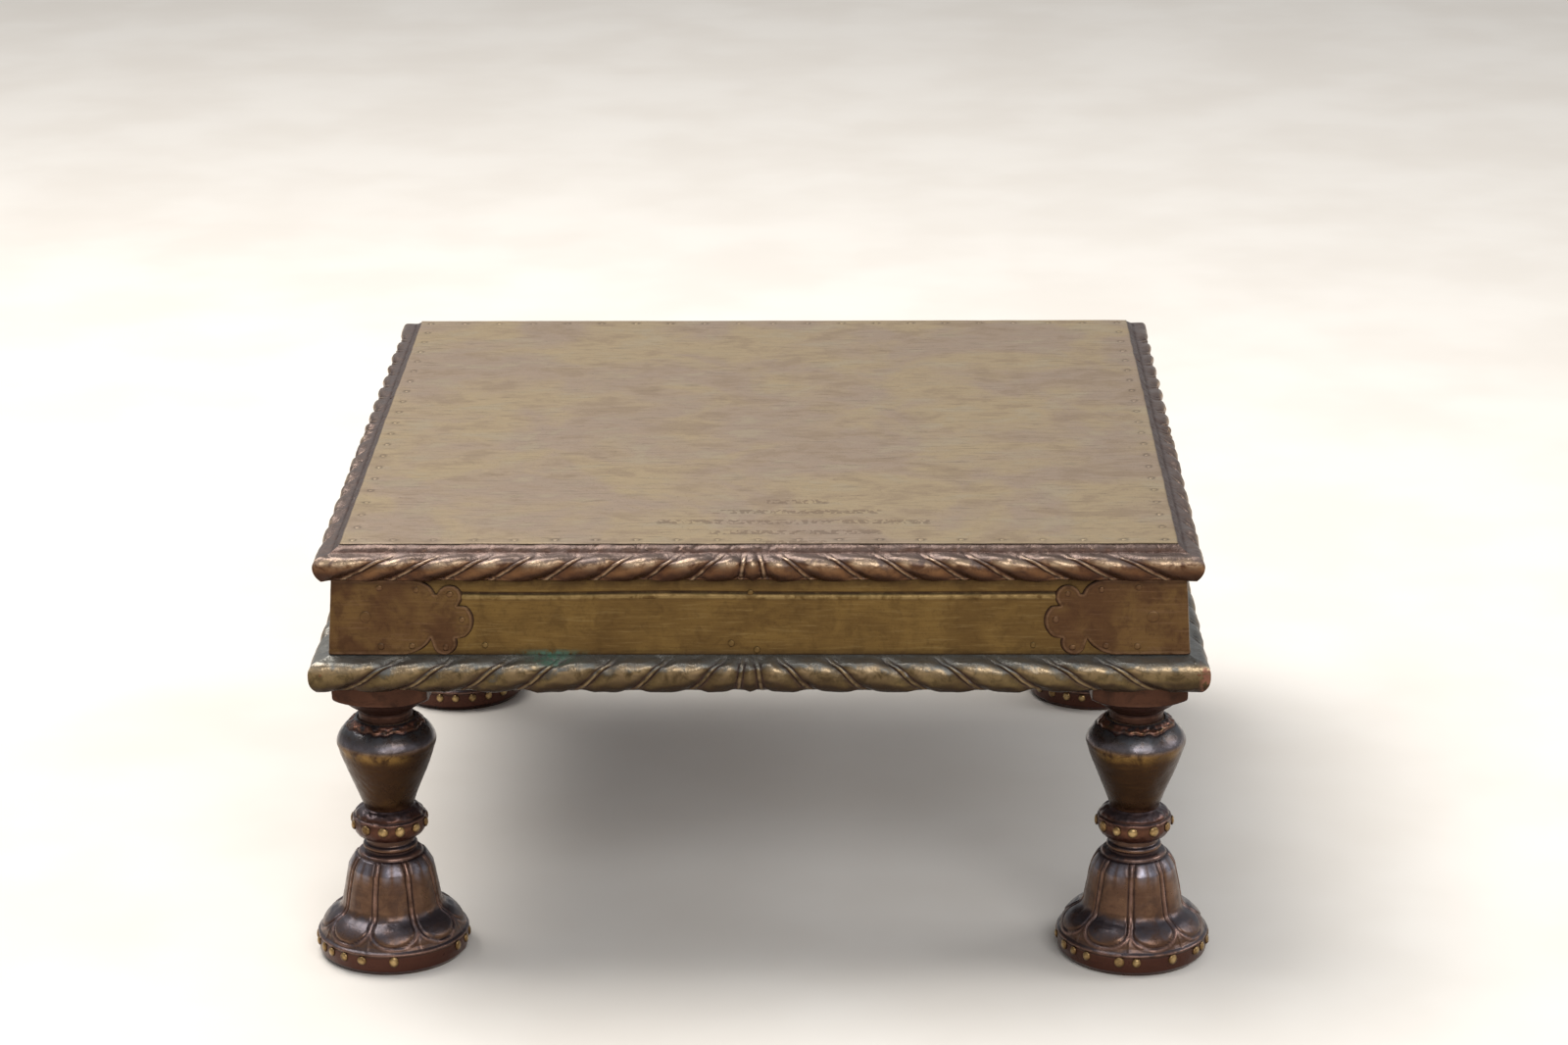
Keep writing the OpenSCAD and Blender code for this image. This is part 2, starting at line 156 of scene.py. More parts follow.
def dents(points, spots, radius, depth):
    """Round dents at the given spots."""
    out = np.zeros(points.shape[:-1])
    for i, spot in enumerate(spots):
        gap = np.linalg.norm(points - spot, axis=-1)
        size = radius * (0.6 + 0.8 * ((i * 7) % 10) / 10)
        out += depth * np.exp(-((gap / size) ** 2))
    return out


# ---- Meshes ----
def turned(points, k):
    """Points turned from side 0 to side k."""
    c, s = ((1, 0), (0, 1), (-1, 0), (0, -1))[k]
    x, y = points[..., 0], points[..., 1]
    return np.stack([c * x - s * y, s * x + c * y, points[..., 2]], -1)


def make_mesh(name, vertices, faces, material, attributes=None, sharp=50):
    """A smooth-shaded object whose faces point outwards.

    An attribute may stop short: the vertices past its end are a hidden back, and all groove.
    """
    flat = np.asarray(vertices, float).reshape(-1, 3)
    triangles = np.array([(f[0], f[i], f[i + 1]) for f in faces for i in range(1, len(f) - 1)])
    a, b, c = (flat[triangles[:, i]] for i in range(3))
    if np.einsum("ij,ij->i", a, np.cross(b, c)).sum() < 0:
        faces = [f[::-1] for f in faces]
    mesh = bpy.data.meshes.new(name)
    mesh.from_pydata((flat * MM).tolist(), [], faces)
    normals = np.empty(flat.size, np.float32)
    mesh.vertices.foreach_get("normal", normals)
    # The up attribute is each vertex's facing; the brass uses it to lay painted reflection and painted
    # shade.
    for key, values in {"up": normals[2::3], **(attributes or {})}.items():
        full = np.full(len(flat), key == "groove", np.float32)
        full[:np.size(values)] = np.ravel(values)
        mesh.attributes.new(key, "FLOAT", "POINT").data.foreach_set("value", full)
    mesh.materials.append(material)
    mesh.shade_smooth()
    mesh.set_sharp_from_angle(angle=math.radians(sharp))
    piece = bpy.data.objects.new(name, mesh)
    bpy.context.scene.collection.objects.link(piece)
    return piece


def stand_in(piece, node):
    """The piece rides on the table and shows in place of a CAD node."""
    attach(piece, "root")
    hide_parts(node)


def loop_faces(rows, columns, wrap):
    """Quads of a grid whose rows close on themselves, with end caps unless its columns do too."""
    r, c = np.meshgrid(np.arange(rows), np.arange(columns if wrap else columns - 1), indexing="ij")
    r2, c2 = (r + 1) % rows, (c + 1) % columns
    quads = np.stack([r * columns + c, r2 * columns + c, r2 * columns + c2, r * columns + c2], -1)
    faces = quads.reshape(-1, 4).tolist()
    if not wrap:
        faces.append([i * columns for i in range(rows)][::-1])
        faces.append([i * columns + columns - 1 for i in range(rows)])
    return faces


def grid_piece(name, node, grid, material, values=None, wrap=False):
    """A closed piece from a grid of points, in place of one CAD node."""
    faces = loop_faces(*grid.shape[:2], wrap)
    stand_in(make_mesh(name, grid, faces, MATERIALS[material], values), node)


# ---- Materials ----
RED_LACQUER, GREY_SHEEN = (66, 27, 13), (126, 126, 138)
BARE_METAL, VERDIGRIS = (122, 80, 62), (62, 96, 78)
ORNAMENT_X, ORNAMENT_Y, ORNAMENT_ROW = 21, -218, 19
ORNAMENT_HALF, ORNAMENT_STEP = 82, 31


class Nodes:
    """A small builder for one material's nodes."""

    def __init__(self, name):
        self.material = bpy.data.materials.new(name)
        self.material.use_nodes = True
        self.tree = self.material.node_tree
        self.shader = self.tree.nodes["Principled BSDF"]
        self.place = self.add("ShaderNodeTexCoord").outputs["Object"]

    def add(self, kind, **settings):
        node = self.tree.nodes.new(kind)
        for key, value in settings.items():
            setattr(node, key, value)
        return node

    def put(self, value, socket):
        if isinstance(value, bpy.types.NodeSocket):
            self.tree.links.new(value, socket)
        else:
            socket.default_value = value

    def stretch(self, scale):
        node = self.add("ShaderNodeMapping")
        self.put(self.place, node.inputs["Vector"])
        node.inputs["Scale"].default_value = scale
        return node.outputs["Vector"]

    def noise(self, size, detail=4, rough=0.55, warp=0.0, place=None):
        """Noise with features of about the given size in millimetres."""
        node = self.add("ShaderNodeTexNoise")
        self.put(place or self.place, node.inputs["Vector"])
        node.inputs["Scale"].default_value = 1 / (size * MM)
        node.inputs["Detail"].default_value = detail
        node.inputs["Roughness"].default_value = rough
        node.inputs["Distortion"].default_value = warp
        return node.outputs["Fac"]

    def ramp(self, value, low, high, out=(0, 1)):
        """The value's range from low to high, eased onto the out range."""
        node = self.add("ShaderNodeMapRange", interpolation_type="SMOOTHSTEP")
        for socket, item in zip(node.inputs[:5], (value, low, high, *out)):
            self.put(item, socket)
        return node.outputs["Result"]

    def math(self, operation, a, b):
        node = self.add("ShaderNodeMath", operation=operation)
        self.put(a, node.inputs[0])
        self.put(b, node.inputs[1])
        return node.outputs["Value"]

    def mix(self, amount, a, b):
        node = self.add("ShaderNodeMix", data_type="RGBA")
        self.put(amount, node.inputs["Factor"])
        self.put((*a, 1) if isinstance(a, tuple) else a, node.inputs["A"])
        self.put((*b, 1) if isinstance(b, tuple) else b, node.inputs["B"])
        return node.outputs["Result"]

    def lay(self, amount, colour):
        """Lays a screen colour over what is there."""
        self.colour = self.mix(amount, self.colour, srgb(*colour))

    def value(self, name):
        return self.add("ShaderNodeAttribute", attribute_name=name).outputs["Fac"]

    def bumps(self, *layers):
        """Chains height fields, each with its height in millimetres."""
        normal = None
        for height, depth in layers:
            node = self.add("ShaderNodeBump")
            node.inputs["Strength"].default_value = 1
            node.inputs["Distance"].default_value = depth * MM
            self.put(height, node.inputs["Height"])
            if normal:
                self.put(normal, node.inputs["Normal"])
            normal = node.outputs["Normal"]
        self.put(normal, self.shader.inputs["Normal"])


def srgb(red, green, blue):
    """A colour named by its 0-255 screen values, as linear light."""
    return tuple(
        c / 12.92 if c <= 0.04045 else ((c + 0.055) / 1.055) ** 2.4
        for c in (red / 255, green / 255, blue / 255)
    )


def aged_brass(
    name, tones, groove, wear_and_highlight, painted_sky_reflection, under,
    metal=0.75, rough=(0.26, 0.42), grain=1.0, blotch=0.75, streak=0.0, turn=(0.25, 0.9), coat=0.0,
):
    """Brass sheet gone dark.

    Three mottled tones, with a painted blue-grey reflection where it faces up and painted shade
    with a warm painted reflection where it faces down, darker grooves that are patina in the
    hollows and painted shade where a piece feeds shade into them, raised places showing wear that
    is partly a painted highlight, and fine level scratches, under a painted grey sheen on the
    darkest sheets.
    """
    n = Nodes(name)
    dark, middle, light = tones
    cloud = n.noise(34, 3, 0.6, 0.6)
    patch = n.noise(8, 5, 0.62, 0.5)
    speck = n.noise(1.5, 3, 0.6)
    scratch = n.noise(2.4, 5, 0.65, 0.1, n.stretch((0.10, 0.10, 1.5)))
    uneven = n.math("ADD", n.math("MULTIPLY", patch, 0.8), n.math("MULTIPLY", cloud, 0.6))
    up = n.math("ADD", n.value("up"), n.math("SUBTRACT", uneven, 0.7))
    n.colour = srgb(*middle)
    n.lay(n.ramp(cloud, 0.36, 0.64), light)
    n.lay(n.ramp(patch, 0.44, 0.72, (0, blotch)), dark)
    n.lay(n.ramp(scratch, 0.50, 0.72, (0, streak)), dark)
    n.lay(n.ramp(scratch, 0.48, 0.28, (0, streak)), wear_and_highlight)
    # Painted reflection: a blue-grey colour laid on the surfaces that face up.
    n.lay(n.ramp(up, *turn, (0, 0.85)), painted_sky_reflection)
    # Painted shade with a warm painted reflection, laid on the surfaces that face down.
    n.lay(n.ramp(up, 0.10, -0.55, (0, 0.95)), under)
    n.lay(n.ramp(speck, 0.58, 0.74, (0, 0.5)), dark)
    # Wear on raised places, and a painted highlight where a piece sets its high values by facing.
    n.lay(n.math("MULTIPLY", n.value("high"), n.ramp(patch, 0.66, 0.40)), wear_and_highlight)
    # Grooves: patina in the hollows, and painted shade where a piece feeds shade into its groove values.
    low = n.math("MULTIPLY", n.value("groove"), n.ramp(n.noise(5, 3), 0.25, 0.6, (0.6, 1)))
    n.lay(low, groove)
    n.lay(n.value("red"), RED_LACQUER)
    # Painted highlight: a grey sheen on the pale places of the vase and bell.
    n.lay(n.math("MULTIPLY", n.value("pale"), n.ramp(patch, 0.70, 0.40, (0.3, 1))), GREY_SHEEN)
    n.lay(n.math("MULTIPLY", n.value("bare"), n.ramp(n.noise(4, 4), 0.40, 0.55)), BARE_METAL)
    green = n.math("MULTIPLY", n.value("verdigris"), n.ramp(n.noise(3, 4, 0.7), 0.36, 0.56))
    n.lay(green, VERDIGRIS)
    n.put(n.colour, n.shader.inputs["Base Color"])
    n.put(n.math("SUBTRACT", metal, n.math("MULTIPLY", green, 0.6)), n.shader.inputs["Metallic"])
    rough_value = n.ramp(patch, 0.3, 0.72, rough)
    n.put(n.math("ADD", rough_value, n.math("MULTIPLY", low, 0.12)), n.shader.inputs["Roughness"])
    n.shader.inputs["Coat Weight"].default_value = coat
    n.shader.inputs["Coat Roughness"].default_value = 0.28
    crumple = n.noise(4, 2, 0.5, 0.8)
    n.bumps((cloud, 0.7 * grain), (patch, 0.35 * grain), (crumple, 0.22 * grain), (speck, 0.08 * grain))
    return n.material


def ornament(n):
    """Four faint rows of small pecked marks near the middle of the front edge."""
    split = n.add("ShaderNodeSeparateXYZ")
    n.put(n.place, split.inputs["Vector"])
    x, y = split.outputs["X"], split.outputs["Y"]
    first = (ORNAMENT_Y - ORNAMENT_ROW / 2) * MM
    rows = n.math("MULTIPLY", n.math("SUBTRACT", y, first), 1 / (ORNAMENT_ROW * MM))
    height = n.math("ABSOLUTE", n.math("SUBTRACT", n.math("FRACT", rows, 0), 0.5), 0)
    row = n.math("ABSOLUTE", n.math("SUBTRACT", n.math("FLOOR", rows, 0), 1), 0)
    width = n.math("SUBTRACT", ORNAMENT_HALF * MM, n.math("MULTIPLY", row, ORNAMENT_STEP * MM))
    reach = n.math("ABSOLUTE", n.math("SUBTRACT", x, ORNAMENT_X * MM), 0)
    inside = n.ramp(n.math("SUBTRACT", width, reach), 0, 4 * MM)
    pecks = n.ramp(n.noise(3.2, 1, 0.5, 0.6, n.stretch((1, 0.7, 1))), 0.45, 0.53)
    return n.math("MULTIPLY", n.math("MULTIPLY", pecks, n.ramp(height, 0.24, 0.17)), inside)


def top_brass():
    """The worn top: satin, faintly streaked from side to side, with grey, olive and pinkish clouds."""
    n = Nodes("worn_top_brass")
    cloud = n.noise(75, 4, 0.55, 0.5)
    streak = n.noise(22, 5, 0.6, 0.3, n.stretch((0.7, 1.15, 1)))
    fine = n.noise(3, 4, 0.65, 0.1, n.stretch((0.14, 1.2, 1)))
    n.colour = srgb(150, 131, 102)
    n.lay(n.ramp(cloud, 0.40, 0.60), (142, 123, 105))
    n.lay(n.ramp(streak, 0.48, 0.66, (0, 0.65)), (122, 104, 84))
    n.lay(n.ramp(streak, 0.46, 0.34, (0, 0.55)), (158, 142, 116))
    n.lay(n.ramp(fine, 0.50, 0.72, (0, 0.6)), (108, 92, 74))
    n.lay(n.ramp(n.noise(1.6, 3), 0.60, 0.74, (0, 0.45)), (84, 70, 52))
    marks = ornament(n)
    n.lay(n.math("MULTIPLY", marks, 0.6), (100, 80, 62))
    # Darker in the nail dishes, and a painted shadow line along the edge.
    n.lay(n.value("groove"), (72, 58, 44))
    n.put(n.colour, n.shader.inputs["Base Color"])
    n.shader.inputs["Metallic"].default_value = 0.55
    n.put(n.ramp(streak, 0.3, 0.7, (0.42, 0.56)), n.shader.inputs["Roughness"])
    hollow = n.math("SUBTRACT", 1, marks)
    n.bumps((cloud, 1.2), (streak, 0.3), (n.noise(9, 3), 0.25), (fine, 0.05), (hollow, 0.10))
    return n.material


def old_wood(name, axis):
    """Dry dark wood with its grain along one axis."""
    n = Nodes(name)
    grain = n.noise(7, 6, 0.65, 1.2, n.stretch(np.where(np.arange(3) == axis, 0.06, 1)))
    pores = n.noise(1.2, 4, 0.7, 0.4, n.stretch(np.where(np.arange(3) == axis, 0.08, 1)))
    n.colour = srgb(58, 38, 25)
    n.lay(n.ramp(grain, 0.35, 0.65), (96, 66, 42))
    n.lay(n.ramp(pores, 0.5, 0.66, (0, 0.8)), (34, 22, 15))
    n.lay(n.ramp(n.noise(30, 3), 0.5, 0.7, (0, 0.5)), (110, 88, 66))
    n.put(n.colour, n.shader.inputs["Base Color"])
    n.put(n.ramp(pores, 0.3, 0.7, (0.62, 0.85)), n.shader.inputs["Roughness"])
    n.bumps((grain, 0.4), (pores, 0.2))
    return n.material


def pale_floor():
    """Plain pale ground with the slightest unevenness."""
    n = Nodes("pale_floor")
    n.colour = srgb(214, 207, 198)
    n.lay(n.ramp(n.noise(160, 3, 0.5), 0.3, 0.7), (220, 214, 206))
    n.put(n.colour, n.shader.inputs["Base Color"])
    n.shader.inputs["Roughness"].default_value = 0.9
    return n.material


# In each brass below, the colour for surfaces facing up is a painted reflection, the colour for surfaces
# facing down is painted shade with a warm painted reflection, and the light colour for wear also paints
# highlights.
MATERIALS = {
    "top": top_brass(),
    "wood_x": old_wood("old_wood_along", 0),
    "wood_y": old_wood("old_wood_across", 1),
    "wood_z": old_wood("old_wood_upright", 2),
    "upper": aged_brass(
        "upper_brass", ((62, 36, 20), (98, 62, 34), (116, 80, 48)),
        groove=(54, 30, 20), wear_and_highlight=(190, 164, 134), painted_sky_reflection=(98, 85, 80), under=(52, 24, 4),
        rough=(0.28, 0.48), grain=1.5, turn=(0.12, 0.8), coat=0.08,
    ),
    "lower": aged_brass(
        "lower_brass", ((52, 38, 16), (82, 64, 34), (100, 82, 48)),
        groove=(58, 37, 32), wear_and_highlight=(160, 136, 104), painted_sky_reflection=(118, 118, 114), under=(42, 24, 3),
        rough=(0.28, 0.48), grain=1.5, turn=(0.12, 0.8), coat=0.08,
    ),
    "frieze": aged_brass(
        "frieze_brass", ((78, 55, 24), (98, 73, 35), (112, 86, 43)),
        groove=(50, 32, 14), wear_and_highlight=(136, 112, 70), painted_sky_reflection=(104, 88, 54), under=(80, 58, 26),
        rough=(0.38, 0.54), grain=0.35, blotch=0.5, streak=0.45,
    ),
    "plate": aged_brass(
        "plate_brass", ((66, 39, 21), (85, 57, 32), (104, 77, 42)),
        groove=(48, 28, 18), wear_and_highlight=(122, 92, 68), painted_sky_reflection=(96, 76, 56), under=(70, 44, 24),
        rough=(0.38, 0.54), grain=0.35, blotch=0.6, streak=0.35,
    ),
    "block": aged_brass(
        "block_brass", ((44, 23, 12), (60, 34, 20), (72, 43, 28)),
        groove=(40, 20, 14), wear_and_highlight=(104, 74, 60), painted_sky_reflection=(70, 58, 54), under=(52, 25, 14),
        rough=(0.34, 0.52), grain=0.6,
    ),
    "vase": aged_brass(
        "vase_brass", ((40, 23, 6), (60, 36, 10), (76, 50, 18)),
        groove=(58, 31, 23), wear_and_highlight=(146, 112, 58), painted_sky_reflection=(78, 82, 88), under=(50, 27, 4),
        metal=0.85, rough=(0.24, 0.40), grain=0.5, blotch=0.5, streak=0.15, turn=(0.2, 0.9), coat=0.08,
    ),
    "bell": aged_brass(
        "bell_brass", ((58, 35, 22), (86, 57, 38), (104, 74, 52)),
        groove=(46, 23, 17), wear_and_highlight=(130, 98, 86), painted_sky_reflection=(62, 60, 68), under=(64, 34, 20),
        grain=0.6, blotch=0.6, streak=0.15, coat=0.22,
    ),
    "ring": aged_brass(
        "ring_brass", ((54, 27, 15), (76, 41, 24), (90, 54, 34)),
        groove=(42, 20, 13), wear_and_highlight=(122, 90, 78), painted_sky_reflection=(70, 62, 66), under=(64, 30, 17),
        grain=0.6, coat=0.12,
    ),
    "stud": aged_brass(
        "stud_brass", ((78, 54, 26), (110, 80, 44), (128, 98, 58)),
        groove=(42, 24, 14), wear_and_highlight=(186, 158, 110), painted_sky_reflection=(128, 104, 70), under=(72, 46, 22),
        grain=0.5,
    ),
}


# ---- Top sheet and its nails ----
NAIL_COUNT = 21
NAIL_INSET = 7


def top_nail_spots():
    """Places of the flush nails along all four edges, as on the CAD sheet."""
    edge = TOP_HALF - NAIL_INSET
    step = 2 * edge / (NAIL_COUNT - 1)
    row = np.array([[-edge + i * step, -edge, TOP_Z] for i in range(NAIL_COUNT - 1)])
    return np.concatenate([turned(row, k) for k in range(4)])


def top_sheet():
    """The flat top: gently uneven, dished round each nail, with an uneven rolled edge."""
    edge = np.concatenate([[0, 0.25, 0.7, 1.3], np.linspace(2.2, 14, 15)])
    middle = np.linspace(16.5, TOP_HALF, 86)
    half = np.concatenate([edge, middle]) - TOP_HALF
    line = np.concatenate([half, -half[-2::-1]])
    x, y = np.meshgrid(line, line, indexing="xy")
    flat = np.stack([x, y, np.full_like(x, TOP_Z)], -1)
    rim = TOP_HALF - np.maximum(abs(x), abs(y))
    dish = np.zeros_like(x)
    for spot in top_nail_spots():
        near = (abs(x - spot[0]) < 12) & (abs(y - spot[1]) < 12)
        gap = np.hypot(x - spot[0], y - spot[1])
        dish = np.where(near, np.maximum(dish, 0.42 * np.exp(-((gap / 3.0) ** 2))), dish)
    rng = np.random.default_rng(21)
    knocks = np.column_stack([rng.uniform(-TOP_HALF, TOP_HALF, (70, 2)), np.full(70, TOP_Z)])
    drop = 0.10 + 0.10 * ripples(flat, 90, 1) + 0.04 * ripples(flat, 30, 2)
    drop += dish + dents(flat, knocks, 2.6, 0.26)
    long_dent = [0.21 * TOP_HALF, 0.70 * TOP_HALF]
    drop += 0.30 * np.exp(-(((x - long_dent[0]) / 11) ** 2) - ((y - long_dent[1]) / 3.5) ** 2)
    drop += 0.25 * (1 - smooth(rim, 0, 1.4)) ** 2
    wave = 0.25 * (1 + ripples(flat, 26, 3)) * (1 - smooth(rim, 0, 2))
    surface = flat.copy()
    surface[..., 2] -= np.clip(drop, 0, 0.72)
    surface[..., 0] -= np.sign(x) * wave * (abs(x) >= abs(y))
    surface[..., 1] -= np.sign(y) * wave * (abs(y) >= abs(x))
    size = len(line)
    index = np.arange(size * size).reshape(size, size)
    quads = np.stack([index[:-1, :-1], index[:-1, 1:], index[1:, 1:], index[1:, :-1]], -1)
    ring = np.concatenate([index[0, :-1], index[:-1, -1], index[-1, :0:-1], index[:0:-1, 0]])
    under = surface.reshape(-1, 3)[ring]
    under[:, 2] = SHEET_Z
    base = size * size
    low = np.arange(len(ring)) + base
    walls = np.stack([ring, low, np.roll(low, -1), np.roll(ring, -1)], -1)
    faces = quads.reshape(-1, 4).tolist() + walls.tolist() + [low[::-1].tolist()]
    # Darker in the dish round each nail, and a painted shadow line along the very edge of the sheet.
    groove = 0.8 * smooth(dish, 0.12, 0.36) + 0.5 * (rim < 0.3)
    vertices = np.concatenate([surface.reshape(-1, 3), under])
    piece = make_mesh("worn_top_sheet", vertices, faces, MATERIALS["top"], {"groove": groove})
    stand_in(piece, "top_sheet")


def domes(name, slot, node, spots, axes, radius, height, material, seed, wear_and_highlight=1.0):
    """Many hammered heads in one mesh: each spot with its outward axis."""
    spread, sunk = 0.12, 0.35
    around, levels = 18, 6
    rng = np.random.default_rng(seed)
    turn = np.linspace(0, 2 * math.pi, around, endpoint=False)
    rise = np.linspace(0, math.pi / 2, levels)
    vertices, faces, high, groove = [], [], [], []
    for spot, axis in zip(spots, axes):
        side = np.cross(axis, [0, 0, 1] if abs(axis[2]) < 0.9 else [1, 0, 0])
        side /= np.linalg.norm(side)
        other = np.cross(axis, side)
        lean = rng.normal(0, spread, 2)
        size = np.array(radius) * (1 + rng.uniform(-spread, spread, 2))
        tall = height * (1 + rng.uniform(-spread, 0))
        base = len(vertices)
        profile = [(1.0, -sunk / height)] + [(math.cos(a), math.sin(a)) for a in rise[:-1]]
        for reach, up in profile:
            for t in turn:
                u, v = size[0] * reach * math.cos(t), size[1] * reach * math.sin(t)
                w = tall * up + (lean[0] * u + lean[1] * v) * 0.3 * max(up, 0)
                vertices.append(spot + u * side + v * other + w * axis)
                # Wear and a painted highlight on each crown, brightest at the top; a painted shadow ring at
                # its foot.
                high.append(wear_and_highlight * max(up, 0) ** 3)
                groove.append(1.0 if up <= 0.05 else 0.0)
        vertices.append(spot + tall * axis)
        vertices.append(spot - sunk * axis)
        high += [wear_and_highlight, 0.0]
        groove += [0.0, 1.0]
        tip, root = len(vertices) - 2, len(vertices) - 1
        for i in range(levels - 1):
            for j in range(around):
                a, b = base + i * around, base + (i + 1) * around
                faces.append([a + j, a + (j + 1) % around, b + (j + 1) % around, b + j])
        last = base + (levels - 1) * around
        for j in range(around):
            faces.append([last + j, last + (j + 1) % around, tip])
            faces.append([base + (j + 1) % around, base + j, root])
    values = {"high": high, "groove": groove}
    stand_in(make_mesh(name, vertices, faces, MATERIALS[material], values), node)


def top_nails():
    spots = top_nail_spots() - [0, 0, 0.5]
    axes = [np.array([0, 0, 1.0])] * len(spots)
    domes("top_sheet_nail_heads", "nail_brass", "top_nails", spots, axes, (1.5, 1.5), 0.3, "top", 31)


# ---- Mouldings ----
ROWS = 46
GROOVE_AT = 1.6
GROOVE_STEPS = (0, 0.5, 0.95, 1.35, 1.7, 2.05, 2.5, 3.2, 4.2, 5.6, 7.4, 9.6, 12)


class Moulding:
    """One gadrooned moulding: its outline, and grooves that lean outwards from the middle."""

    def __init__(self, name, outline, face, shift, first, pitch, count, lean, lean_step, fade, seed):
        self.name, self.face = name, face
        self.path = resample(outline, ROWS)
        self.normal = outward(self.path)
        self.v = np.linspace(0, 1, ROWS)
        self.fade = fade
        self.seed = seed
        self.bead = float(name == "upper")
        self.stain = float(name == "lower")
        self.length = np.linalg.norm(np.diff(self.path, axis=0), axis=1).sum()
        rng = np.random.default_rng(seed)
        self.lines = []
        for half in (-1, 1):
            for i in range(-1, count):
                low = 7.5 if i < 0 else first + pitch * i + rng.uniform(-1.5, 1.5)
                high = 3.5 if i < 0 else low - lean - lean_step * i
                self.lines.append((shift + half * high, shift + half * low))
        self.lines.sort(key=lambda line: line[1])

    def columns(self):
        """x of every grid point, and its distance from the nearest groove across the groove."""
        far = np.full(ROWS, 99.0)
        reach = self.path[:, 0]
        edges = [-reach] + [top + (low - top) * self.v for top, low in self.lines] + [reach]
        slopes = [1.0] + [math.hypot(1, (low - top) / self.length) for top, low in self.lines] + [1.0]
        x, gap = [], []
        for j in range(len(edges) - 1):
            width = float(np.mean(edges[j + 1] - edges[j]))
            steps = [s * slopes[min(max(j, 1), len(slopes) - 2)] for s in GROOVE_STEPS]
            near = np.array([s for s in steps if s < width / 2 - 0.3]) / width
            share = np.concatenate([near, [0.5], 1 - near[:0:-1]])
            for t in share:
                x.append(edges[j] * (1 - t) + edges[j + 1] * t)
                left = t * (edges[j + 1] - edges[j]) / slopes[j] if j else far
                right = (1 - t) * (edges[j + 1] - edges[j]) / slopes[j + 1] if j < len(edges) - 2 else far
                gap.append(np.minimum(left, right))
        x.append(edges[-1])
        gap.append(far)
        return np.stack(x, 1), np.stack(gap, 1)

    def build(self, k, depth=1.7):
        """The sheet on side k, and the wooden bar behind it."""
        x, gap = self.columns()
        low, high = self.fade
        mask = (smooth(self.v, low, low + 0.20) * (1 - smooth(self.v, high - 0.10, high)))[:, None]
        strip = -depth + 0.45 * np.clip(1 - (gap / 1.4) ** 2, 0, 1)
        lobe = -depth * (1 - smooth(gap, 1.5, 8.5)) ** 1.3
        shape = np.where(gap < GROOVE_AT, strip, lobe) - 0.40 * bump(gap, GROOVE_AT, 0.40)
        a = np.repeat(self.path[:, :1], x.shape[1], 1)
        z = np.repeat(self.path[:, 1:], x.shape[1], 1)
        here = turned(np.stack([x, -a, z], -1), k)
        inside = smooth(a - abs(x), 0, 8)
        rng = np.random.default_rng(self.seed * 10 + k)
        picks = rng.integers(0, here.reshape(-1, 3).shape[0], 150)
        uneven = 0.26 * ripples(here, 17, self.seed + k) + 0.16 * ripples(here, 6.5, self.seed + 7 + k)
        uneven -= dents(here, here.reshape(-1, 3)[picks], 1.8, 0.34)
        edge_band = smooth(self.v, 0, 0.06)[:, None] * (1 - smooth(self.v, 0.93, 1.0))[:, None]
        bead = (0.40 * bump(self.v, 0.075, 0.045) - 0.35 * bump(self.v, 0.165, 0.03))[:, None]
        relief = mask * shape + edge_band * inside * (uneven - 0.12 + self.bead * bead)
        out_a = np.maximum(a + self.normal[:, :1] * relief, self.face)
        out_z = z + self.normal[:, 1:] * relief
        x = np.where(abs(x) >= a - 1e-6, np.sign(x) * out_a, x)
        outer = np.stack([x, -out_a, out_z], -1)
        skin = slice(None, None, 3)
        in_a = np.maximum(out_a - self.normal[:, :1] * SHEET_T, self.face)[skin]
        in_z = (out_z - self.normal[:, 1:] * SHEET_T)[skin]
        in_x = np.where(abs(x) >= out_a - 1e-6, np.sign(x) * in_a[0, 0], x)[skin]
        in_x = np.clip(in_x, -in_a, in_a)
        in_x[:, 0], in_x[:, -1] = -in_a[:, 0], in_a[:, -1]
        inner = np.stack([in_x, -in_a, in_z], -1)
        grid = np.concatenate([outer, inner[::-1]])
        groove = mask * (0.9 * bump(gap, GROOVE_AT, 0.55) + 0.25 * bump(gap, 2.6, 0.8))
        edge_line = 0.6 * bump(self.v, 0.165, 0.03) + 0.35 * (1 - smooth(self.v, 0.14, 0.22))
        groove += self.bead * edge_line[:, None]
        # Painted highlight, with wear, where each lobe turns up towards the light; the strip down each
        # groove shows wear.
        crest = mask * smooth(gap, 2.0, 6) * bump(self.normal[:, 1:], 0.40, 0.36)
        crest = np.maximum(crest, 0.55 * mask * bump(gap, 0, 0.8))
        # Painted shade on the foot of each moulding, where it turns in underneath.
        shade = 1 - smooth(self.v, 0.86, 0.97)[:, None]
        top_end = (1 - smooth(self.v, 0.16, 0.34))[:, None]
        marked = self.stain * (k == 0)
        values = {
            "groove": np.clip(groove + 0.8 * (1 - shade), 0, 1),
            "high": np.clip(crest, 0, 1) * 0.8,
            "verdigris": marked * bump(outer[..., 0], STAIN_X, 13) * top_end,
            "bare": marked * smooth(outer[..., 0], *WORN_CORNER_X),
        }
        bar, side = self.name, SIDES[k]
        skin = turned(grid, k)
        grid_piece(f"{bar}_gadroons_{side}", f"{bar}_skin_{side}", skin, bar, values)
        self.core(k, inner)

    def core(self, k, inner):
        """The wooden bar that the sheet is pressed over."""
        top, bottom = inner[0], inner[-1]
        back_high, back_low = top.copy(), bottom.copy()
        back_high[:, 1] = back_low[:, 1] = -self.face
        for back in (back_high, back_low):
            back[:, 0] = np.clip(back[:, 0], -self.face, self.face)
        if np.allclose(back_high, top):
            back_high[:, 2] = (top[:, 2] * 2 + bottom[:, 2]) / 3
        grid = turned(np.concatenate([inner, [back_low], [back_high]]), k)
        wood, node = "wood_y" if k % 2 else "wood_x", f"{self.name}_moulding_{SIDES[k]}"
        grid_piece(f"{self.name}_bar_{SIDES[k]}", node, grid, wood)


